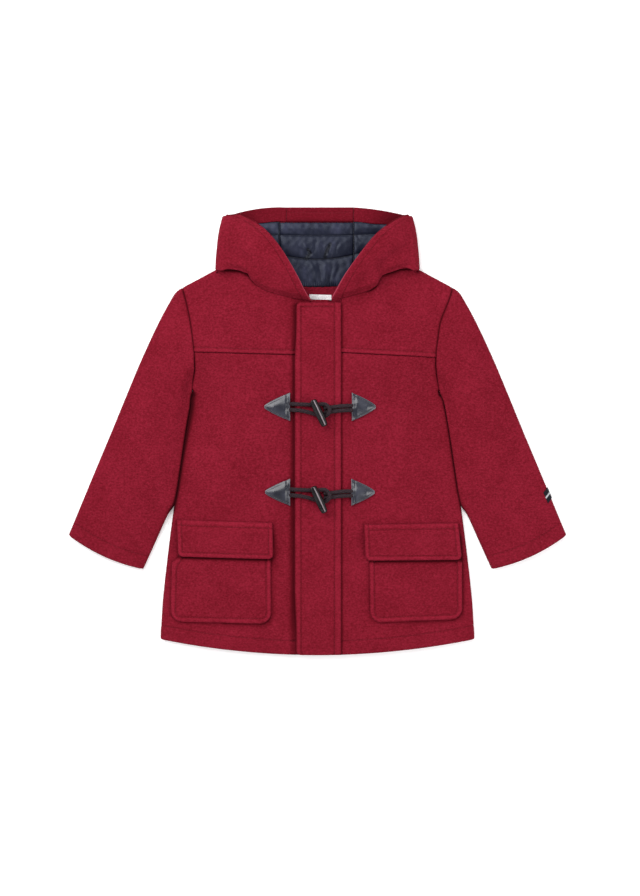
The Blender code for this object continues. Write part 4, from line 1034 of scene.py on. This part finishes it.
stitch = np.maximum(stitch, topRow * soft((fromRight - 6.0) / 2.0))
leftRidge = np.sin(math.pi * np.clip(fromLeft / placket["stitchLeft"], 0.0, 1.0))
rightRidge = np.sin(math.pi * np.clip(fromRight / placket["stitchRight"], 0.0, 1.0))
ridge = np.maximum(leftRidge, rightRidge)
relief = 0.75 * ridge - 0.55 * stitch + drift(x, y, 0.9) * soft(np.minimum(fromLeft, fromRight) / 8.0)
# painted highlight on the ridges; painted shade in the sewn lines and along both edges
tone = 0.22 * ridge - 0.42 * stitch - 0.30 * dip(fromRight, 0.8) - 0.3 * dip(fromLeft, 0.8)
part = shell(np.stack([x, y, z], -1), placket["thick"], relief, tone, 2.0)
placket["piece"] = makePiece("placketStrip", "felt", part, node="placket")
print("placket and pockets made")


leather = {"thick": 1.4, "dome": 3.4, "tipHalf": 1.2, "flare": 0.76, "rise": 0.35, "stitch": 1.9, "bar": 4.2}
cord = {"width": 4.8, "step": 0.45, "sides": 20, "strands": 6, "lay": 5.0, "relief": 0.36}
toggle = {
    "length": 35.0, "radius": 4.9, "endRadius": 3.9, "tilt": 25.0, "x": 1.7, "lift": 1.2,
    "slotAt": 112.0, "slotHalf": 0.30, "slotDepth": 1.7, "rimAt": 80.0, "rimHalf": 0.19, "rimRise": 0.35,
}
fastenings = [
    {"name": "Upper", "y": 28.8, "tips": (-63.6, 69.8), "bases": (-32.6, 41.0), "half": 17.2, "drop": -7.5},
    {"name": "Lower", "y": -73.2, "tips": (-62.8, 68.6), "bases": (-32.6, 40.4), "half": 16.4, "drop": -8.7},
]
loopStart = [(0.0, 3.4, 0.0), (0.8, 3.4, 0.1), (3.6, 3.4, 2.8)]
loop = [
    (-25.8, 3.3, 0.7), (-20.0, 2.9, 0.2), (-10.0, 2.5, 0.2), (-1.0, 2.5, 0.2), (6.0, 3.1, 0.8),
    (9.6, 2.7, 2.4), (12.6, 0.1, 4.7), (14.6, -4.4, 5.4), (12.6, -8.8, 4.4), (9.6, -11.1, 2.0),
    (6.0, -10.9, 0.6), (-2.0, -9.2, 0.1), (-12.0, -6.2, 0.2), (-20.0, -4.6, 0.2), (-25.8, -3.9, 0.7),
]
loopEnd = [(3.6, -3.6, 2.8), (0.8, -3.6, 0.1), (0.0, -3.6, 0.0)]
strandStart = [(2.5, -1.4, 0.0), (0.0, -1.4, 0.0), (-4.0, -1.4, 0.8)]
strand = [(31.0, -1.7, 0.1), (24.0, -2.3, 0.0), (14.0, -3.7, 0.0), (7.0, -4.4, 0.0)]
strandGap = 5.3


def tabHalf(entry, along):  # half the width of a leather tab, from its tip to its base
    return leather["tipHalf"] + (entry["half"] - leather["tipHalf"]) * along ** leather["flare"]


def ground(x, y):  # top of the placket or of the front at a point near the fastenings
    if placket["left"] <= x <= placket["right"]:
        return float(frontHeight(np.array(x), np.array(y))) + placket["lift"] + placket["thick"]
    return float(frontHeight(np.array(x), np.array(y), x > 0))


def braidedTube(path):  # closed tube round a smooth path, with the braid's relief
    fine = smoothRows(path, 12)
    run = np.concatenate([[0.0], np.cumsum(np.linalg.norm(np.diff(fine, axis=0), axis=1))])
    along = np.linspace(0.0, run[-1], int(run[-1] / cord["step"]))
    line = np.stack([np.interp(along, run, fine[:, k]) for k in range(3)], 1)
    ways = np.gradient(line, axis=0)
    ways /= np.linalg.norm(ways, axis=1, keepdims=True)
    normal, frames = np.cross(ways[0], (0.0, 0.0, 1.0)), []
    for way in ways:
        normal = normal - way * normal.dot(way)
        normal = normal / np.linalg.norm(normal)
        frames.append((normal, np.cross(way, normal)))
    turn, radius = np.linspace(0.0, 2.0 * math.pi, cord["sides"], endpoint=False), cord["width"] / 2
    first, second = np.array(frames)[:, 0, None], np.array(frames)[:, 1, None]
    plait = braid(turn[None, :], along[:, None])
    ends = np.minimum(along, along[-1] - along)[:, None]
    rounded = np.sqrt(1.0 - (1.0 - np.clip(ends / (0.6 * radius), 0.05, 1.0)) ** 2)
    size = (radius + cord["relief"] * (plait - 1.0)) * rounded
    points = line[:, None] + first * (np.cos(turn) * size)[..., None]
    points = points + second * (np.sin(turn) * size)[..., None]
    # painted highlight on the braid's crests and painted shade in its hollows
    return closedRings(points, line[[0, -1]], plait - 0.6)


def braid(turn, along):  # two sets of strands that cross over and under
    u = cord["strands"] * turn / (2.0 * math.pi) + along / cord["lay"]
    v = cord["strands"] * turn / (2.0 * math.pi) - along / cord["lay"]
    over = 0.5 + 0.5 * np.sign(np.sin(math.pi * (np.floor(u) + np.floor(v)) + 0.5 * math.pi))
    first, second = abs(np.sin(math.pi * u)), abs(np.sin(math.pi * v))
    return over * first ** 0.6 * (0.7 + 0.3 * second) + (1.0 - over) * second ** 0.6 * (0.7 + 0.3 * first)


def ringDip(turn, key):  # 1 on a line along the toggle, fading to both sides of it
    away = np.angle(np.exp(1j * (turn - math.radians(toggle[key + "At"]))))
    return dip(away, toggle[key + "Half"])


for entry in fastenings:
    y, rest = entry["y"], cord["width"] / 2 + body["seam"]
    base = entry["bases"][0] + 0.9
    low, top = ground(base - 1.0, y) + rest, ground(-20.0, y) + rest
    path = [(base + out, y + aside, low + rise) for out, aside, rise in loopStart]
    path += [(x, y + aside, top + rise) for x, aside, rise in loop]
    path += [(base + out, y + aside, low + rise) for out, aside, rise in loopEnd]
    ends = [tuple(np.add(path[k], (-2.5, 0.0, 0.0))) for k in (0, -1)]  # both ends run in under the leather
    makePiece("cordLoop" + entry["name"], "cord", braidedTube([ends[0]] + path + [ends[1]]))
    base = entry["bases"][1] - body["seam"]
    low = ground(base, y) + rest
    for letter, offset in (("A", strandGap / 2), ("B", -strandGap / 2)):
        path = [(base + out, y + aside + offset, low + rise) for out, aside, rise in strandStart]
        path += [(x, y + aside + offset, top + rise) for x, aside, rise in strand]
        makePiece("cordToggle" + entry["name"] + letter, "cord", braidedTube(path))

    for (name, side), tip, base in zip(sides, entry["tips"], entry["bases"]):
        alongs, acrosses = spread(0.0, 1.0, 0.022, (), 0.006, 0.03), spread(-1.0, 1.0, 0.045, (), 0.02, 0.06)
        along, across = np.meshgrid(alongs, acrosses, indexing="ij")
        half = tabHalf(entry, along)
        x, y = tip + (base - tip) * along, entry["y"] + half * across
        rise = np.minimum(1.0, along / leather["rise"]) * np.minimum(1.0, 0.6 + (1.0 - along) / 0.4)
        rise = leather["thick"] + leather["dome"] * (1.0 - across ** 2) * rise
        z = frontHeight(x, y, side > 0) + body["seam"] + rise
        shares = np.linspace(0.0, 1.0, 12)
        halves = tabHalf(entry, shares)
        xs = tip + (base - tip) * shares
        outline = list(zip(xs[::-1], entry["y"] + halves[::-1])) + list(zip(xs, entry["y"] - halves))
        outline.append(outline[0])
        away = lineDistance(x, y, outline)[0]
        groove = dip(away - leather["stitch"], 0.55)
        relief = -0.22 * groove + 0.16 * np.sin(x * 0.33 + 1.0) * np.sin(y * 0.29 + 0.6) * soft(away / 5.0)
        barred = abs(x - base) - leather["bar"]  # pressed band by the base, and small folds out of it
        relief -= 0.40 * dip(barred, 1.2) + 0.12 * np.sin(y * 0.9) * dip(barred + 1.0, 3.2) * soft(away / 3.0)
        # a pale line along the edge; painted shade in the sewn groove and in the pressed band by the base
        tone = 0.55 * dip(away, 0.9) - 0.3 * groove - 0.30 * dip(barred, 1.2)
        part = shell(np.stack([x, y, z], -1), leather["thick"], relief, tone, 0.7)
        piece = makePiece("leather" + entry["name"] + name, "leather", part)
        entry["outline" + name], entry["leather" + name] = outline, piece

    turn, t = np.meshgrid(np.linspace(0.0, 2.0 * math.pi, 40, endpoint=False), np.linspace(-1.0, 1.0, 61))
    swell = (toggle["radius"] - toggle["endRadius"]) * np.cos(0.5 * math.pi * t)
    radius = (toggle["endRadius"] + swell) * np.sqrt(np.maximum(1.0 - 0.94 * abs(t) ** 22, 0.0))
    slot = ringDip(turn, "slot") * soft((1.02 - abs(t)) / 0.2)
    rim = ringDip(turn, "rim") * soft((0.98 - abs(t)) / 0.1)
    radius = radius - toggle["slotDepth"] * slot + toggle["rimRise"] * rim
    radius = radius * (1.0 + 0.02 * np.sin(3.0 * turn + 5.0 * t) + 0.012 * np.sin(7.0 * turn - 3.0 * t))
    local = np.stack([radius * np.cos(turn), -0.5 * toggle["length"] * t, radius * np.sin(turn)], -1)
    tilt = math.radians(toggle["tilt"])
    across, along, up = np.moveaxis(local, -1, 0)
    spun = np.stack([across * math.cos(tilt) - along * math.sin(tilt),
                     across * math.sin(tilt) + along * math.cos(tilt), up], -1)
    centreY = entry["y"] + entry["drop"]
    height = ground(0.0, centreY) + cord["width"] + toggle["lift"] + toggle["radius"]
    spun = spun + (toggle["x"], centreY, height)
    # painted highlight along the raised rim, painted shade in the slot
    part = closedRings(spun, [spun[0].mean(0), spun[-1].mean(0)], 0.95 * rim - 0.9 * slot)
    makePiece("toggle" + entry["name"], "horn", part)
print("fastenings made")


neckFacing = {"left": -34.0, "right": 40.0, "low": 152.0, "over": 0.9}
label = {"left": -10.0, "right": 16.8, "top": 163.6, "low": 156.6, "thick": 0.7, "slope": 1.0}
ribbon = {"row": 8, "start": -0.40, "end": 0.04, "thick": 1.0, "run": 1.4, "slant": 0.55}

xs = spread(neckFacing["left"], neckFacing["right"], 2.0)
ys = spread(neckFacing["low"], body["neckY"] + neckFacing["over"], 1.4)
x, y = np.meshgrid(xs, ys)
y = y + (backNeck(x) - body["neckY"]) * soft((y - 164.0) / 7.0)
points = np.stack([x, y, start + hood["facing"] + 0.0 * x], -1)
relief = drift(x, y, 0.6) - 0.4 * dip(y - 167.5, 0.8) + 0.3 * np.sin(x * 0.8) * dip(y - 171.0, 2.0)
part = shell(points, hood["facing"], relief, 0.0, 0.9)
makePiece("neckFacing", "felt", part)
xs, ys = spread(label["left"], label["right"], 0.9), spread(label["low"], label["top"], 0.8)
x, y = np.meshgrid(xs, ys)
y = y - label["slope"] * (x - label["left"]) / (label["right"] - label["left"]) * (y - label["low"]) / 10.0
lift = 0.25 * np.sin((x - label["left"]) / 8.5) + 0.5 * soft((x - 9.0) / 9.0)
z = start + hood["facing"] + body["seam"] + label["thick"] + lift
part = shell(np.stack([x, y, z], -1), label["thick"], 0.0, 0.0, 0.3)
makePiece("neckLabel", "label", part)

rows = np.array(sleeve["rows"])
edge, after = rows[ribbon["row"], :2], rows[ribbon["row"] + 1, :2]
way = (after - edge) / np.linalg.norm(after - edge)
around = np.arange(-20.0, 90.0, 6.0)  # round the sleeve's edge, and then flat on top of it
angles = np.radians(np.concatenate([around, np.full(8, 90.0)]))
runs = np.concatenate([np.zeros(len(around)), np.linspace(0.0, ribbon["run"], 8)])
shares = np.linspace(ribbon["start"], ribbon["end"], 26)
radius = body["roll"] + body["seam"] + ribbon["thick"]
out = body["roll"] - radius * np.cos(angles) + runs
plan = edge + (after - edge) * shares[:, None, None] + np.array([way[1], -way[0]]) * out[None, :, None]
plan = plan + way * ribbon["slant"] * out[None, :, None]
z = body["roll"] + radius * np.sin(angles) + 1.2 * soft(runs / 12.0)
points = np.concatenate([plan, np.tile(z, (len(shares), 1))[..., None]], -1)
stripe = soft((0.10 - abs(np.linspace(-0.5, 0.5, len(shares))[:, None] + 0.0 * z)) / 0.06)
part = shell(points, ribbon["thick"], 0.0, stripe, 0.3)
makePiece("sleeveRibbon", "ribbon", part, node="sleeve_tab")
print("small pieces made")


thread = {"pitch": 3.3, "length": 2.5, "width": 0.55, "sink": 0.05}


def stitchRows(name, host, paths, look="sewing", settings=thread):
    # small stitches laid on the host along plan paths
    drop, verts, faces, count = topOf(host), [], [], 0
    around = np.linspace(0.0, 2.0 * math.pi, 6, endpoint=False)
    profile = [(-0.5, 0.35), (-0.32, 0.9), (0.0, 1.0), (0.32, 0.9), (0.5, 0.35)]
    for path in paths:
        path = np.array(path, float)
        run = np.concatenate([[0.0], np.cumsum(np.linalg.norm(np.diff(path, axis=0), axis=1))])
        for k in range(int(run[-1] / settings["pitch"])):
            spots = (k + 0.5) * settings["pitch"] + np.array([-0.5, 0.5]) * settings["length"]
            ends = [drop(*(np.interp(spot, run, path[:, c]) for c in (0, 1))) for spot in spots]
            if not (ends[0] and ends[1]):
                continue
            (first, up), (last, _) = ends
            if abs(first[2] - last[2]) > 1.5:
                continue
            way = (last - first) / np.linalg.norm(last - first)
            aside = np.cross(way, up)
            aside /= np.linalg.norm(aside)
            rise = np.cross(aside, way)
            centre = 0.5 * (first + last) - rise * settings["sink"]
            for at, size in profile:
                ring = centre + way * at * settings["length"] + 0.5 * settings["width"] * size * (
                    np.cos(around)[:, None] * aside + 0.8 * np.sin(around)[:, None] * rise)
                verts.append(ring)
            for r, c in np.ndindex(len(profile) - 1, 6):
                low, high, d = count + 6 * r, count + 6 * (r + 1), (c + 1) % 6
                faces.append((low + c, low + d, high + d, high + c))
            faces.append(tuple(count + c for c in range(5, -1, -1)))
            faces.append(tuple(count + 6 * (len(profile) - 1) + c for c in range(6)))
            count += 6 * len(profile)
    verts = np.concatenate(verts)
    addPiece(name, verts, faces, np.zeros(len(verts)), look)


def insetPath(path, distance):  # a path with each point moved inwards, square to its neighbours' line
    path = [np.array(p, float) for p in path]
    centre, made = np.mean(path, 0), []
    for k, point in enumerate(path):
        before, after = path[max(k - 1, 0)], path[min(k + 1, len(path) - 1)]
        way = (after - before) / max(np.linalg.norm(after - before), 1e-9)
        normal = np.array([-way[1], way[0]])
        if normal.dot(centre - point) < 0:
            normal = -normal
        made.append(tuple(point + normal * distance))
    return made


def rowAt(first, last, heightAt):  # plan path of a sewing row that runs across
    return [(x, float(heightAt(x))) for x in np.linspace(first, last, int(abs(last - first) / 6.0))]


left, right, top = placket["left"], placket["right"], placket["top"]
leftX, rightX, topY = left + placket["stitchLeft"], right - placket["stitchRight"], top - placket["stitchTop"]
turned = [(leftX, topY - 3.0), (leftX + 1.0, topY - 0.8), (leftX + 3.0, topY), (rightX, topY)]
paths = [[(leftX, hemY(leftX) + 2.0)] + turned, [(rightX, hemY(rightX) + 2.0), (rightX, topY)]]
stitchRows("placketSewing", placket["piece"], paths)
for place in pocketPlaces:
    path = insetPath(outlineOf(place, "pocket"), pocket["stitch"])
    stitchRows("pocketSewing" + place["name"], place["pocketPiece"], [path])
    topLine = [(x, y - flap["topStitch"]) for x, y in place["flap"][:2]]
    paths = [insetPath(outlineOf(place, "flap"), flap["stitch"]), topLine]
    stitchRows("flapSewing" + place["name"], place["flapPiece"], paths)
for name, side in sides:
    inner = placket["left"] if side < 0 else placket["right"] + 1.0
    yokeRow = rowAt(inner, side * 150.0, lambda x: seamLine(abs(x), side) + body["yokeStitch"])
    stitchRows("yokeSewing" + name, body["yoke" + name], [yokeRow])
    hemRow = rowAt(inner, side * 184.0, lambda x: hemY(x) + body["hemStitch"])
    stitchRows("hemSewing" + name, body["front" + name], [hemRow])
    last = np.array(sleeve["rows"])[-1]
    shares = np.linspace(0.04, 0.96, 16)[:, None]
    cuff = last[0:2] + (last[2:4] - last[0:2]) * shares + last[4:6] * 4.0 * shares * (1.0 - shares)
    cuff = (cuff + np.array([-0.40, 0.915]) * sleeve["cuffStitch"]) * (side, 1)
    stitchRows("cuffSewing" + name, sleeve[name], [cuff])
    row = []
    for along in np.linspace(0.05, 0.985, 24):
        edges = hoodGrid(side, 0.0, [along], [], [], [0.0, 1.0], hood["woolSeams"])[0]
        run = math.dist(edges[0][:2], edges[1][:2])
        share = 1.0 - (hood["stitch"][side] - 1.5 * (1.0 - along)) / max(run, 20.0)
        if run > 28.0:
            row.append(tuple(hoodGrid(side, 0.0, [along], [], [], [share], hood["woolSeams"])[0][0][:2]))
    stitchRows("hoodSewing" + name, hood["side" + name], [row])
first, last = hood["woolSeams"]
row = rowAt(first + 2.0, last - 2.0, lambda x: hood["topY"] - hood["centreStitch"])
stitchRows("facingSewing", hood["facingCentre"], [row])
tiny = {"pitch": 2.3, "length": 1.7, "width": 0.34, "sink": 0.04}
for entry in fastenings:
    for name, _ in sides:
        path = insetPath(entry["outline" + name][:-1], leather["stitch"])
        host = entry["leather" + name]
        stitchRows("leatherSewing" + entry["name"] + name, host, [path + path[:1]], "paleSewing", tiny)
print("sewing made")


# width and length of the cut in metres, area in square metres, how it is held, what it rests on
cuts = {
    "backPanel": (0.376, 0.464, 0.148, "laid", ["floor"]),
    "frontRight": (0.192, 0.364, 0.0655, "laid", ["backPanel"]),
    "frontLeft": (0.176, 0.364, 0.0505, "laid", ["backPanel"]),
    "yokeRight": (0.150, 0.108, 0.0142, "laid", ["backPanel"]),
    "yokeLeft": (0.135, 0.108, 0.0114, "laid", ["backPanel"]),
    "sleeveRight": (0.270, 0.330, 0.0530, "laid", ["floor"]),
    "sleeveLeft": (0.270, 0.330, 0.0530, "laid", ["floor"]),
    "hoodSideRight": (0.205, 0.112, 0.0146, "folded", ["floor"]),
    "hoodSideLeft": (0.190, 0.112, 0.0128, "folded", ["floor"]),
    "hoodCentre": (0.081, 0.097, 0.0078, "laid", ["floor"]),
    "hoodFacingRight": (0.024, 0.190, 0.0031, "folded", ["hoodSideRight"]),
    "hoodFacingLeft": (0.024, 0.160, 0.0026, "folded", ["hoodSideLeft"]),
    "hoodFacingCentre": (0.082, 0.0190, 0.00155, "laid", ["hoodCentre"]),
    "neckFacing": (0.075, 0.021, 0.00155, "laid", ["backPanel"]),
    "placketStrip": (0.058, 0.428, 0.0248, "laid", ["frontRight", "yokeRight"]),
    "pocketRight": (0.122, 0.105, 0.0125, "laid", ["frontRight"]),
    "pocketLeft": (0.114, 0.103, 0.0114, "laid", ["frontLeft"]),
    "pocketFlapRight": (0.118, 0.048, 0.0054, "laid", ["pocketRight"]),
    "pocketFlapLeft": (0.118, 0.047, 0.0053, "laid", ["pocketLeft"]),
    "neckLabel": (0.027, 0.010, 0.00019, "laid", ["neckFacing"]),
    "sleeveRibbon": (0.017, 0.013, 0.00021, "folded", ["sleeveLeft"]),
}
for name, (width, length, area, held, under) in cuts.items():
    piece = bpy.data.objects[name]
    size = 0.5 * sum(p.area for p in piece.data.polygons)
    print(f"cut {name}: half of the surface {size:.5f}, cut {area:.5f}, share {size / area:.2f}")


studio = {
    "floor": (0.95, 0.95, 0.955), "glow": 0.28, "overhead": 0.12, "around": 0.78,
    "lamps": {"key": (52.0, (-0.90, 1.00, 1.60), 1.8), "fill": (22.0, (1.20, -0.60, 1.60), 1.3)},
    "camera": (0.0030, -0.0204, 4.4), "lens": 147.4,
}


def floorLook():
    look = Look("paleFloor", {"Specular IOR Level": 0.1, "Emission Strength": studio["glow"]})
    grain = look.noise(60.0, 3.0, 0.5)
    colour = look.mix(grain, studio["floor"], tuple(0.97 * c for c in studio["floor"]))
    look.feed(look.shader.inputs["Emission Color"], colour)
    return look.finish(colour, 0.92 + grain * 0.05, grain, 0.0001, 0.2)


bpy.ops.mesh.primitive_plane_add(size=6.0, location=(0.0, 0.0, -0.0002))
floor = bpy.context.object
floor.name = "floor"
floor.data.materials.append(floorLook())

scene = bpy.context.scene
scene.view_settings.view_transform = "Standard"
scene.world = scene.world or bpy.data.worlds.new("studio")
scene.world.use_nodes = True
tree = scene.world.node_tree  # dimmer overhead, where the camera is, than all round
sky = tree.nodes["Background"]
sky.inputs["Color"].default_value = (1.0, 1.0, 1.0, 1.0)
place, parted, dim = (tree.nodes.new("ShaderNode" + kind) for kind in ("TexCoord", "SeparateXYZ", "MapRange"))
steps = {"From Min": 0.4, "From Max": 1.0, "To Min": studio["around"], "To Max": studio["overhead"]}
for key, value in steps.items():
    dim.inputs[key].default_value = value
tree.links.new(place.outputs["Generated"], parted.inputs[0])
tree.links.new(parted.outputs["Z"], dim.inputs["Value"])
tree.links.new(dim.outputs["Result"], sky.inputs["Strength"])
for name, (watts, spot, size) in studio["lamps"].items():
    lamp = bpy.data.lights.new(name, "AREA")
    lamp.energy, lamp.size = watts, size
    holder = bpy.data.objects.new(name, lamp)
    scene.collection.objects.link(holder)
    holder.location = spot
    holder.rotation_euler = (-Vector(spot)).to_track_quat("-Z", "Y").to_euler()

lens = bpy.data.cameras.new("camera")
lens.lens, lens.sensor_width, lens.clip_end = studio["lens"], 36.0, 50.0
camera = bpy.data.objects.new("camera", lens)
camera.location = studio["camera"]
scene.collection.objects.link(camera)
scene.camera = camera
print("studio made")
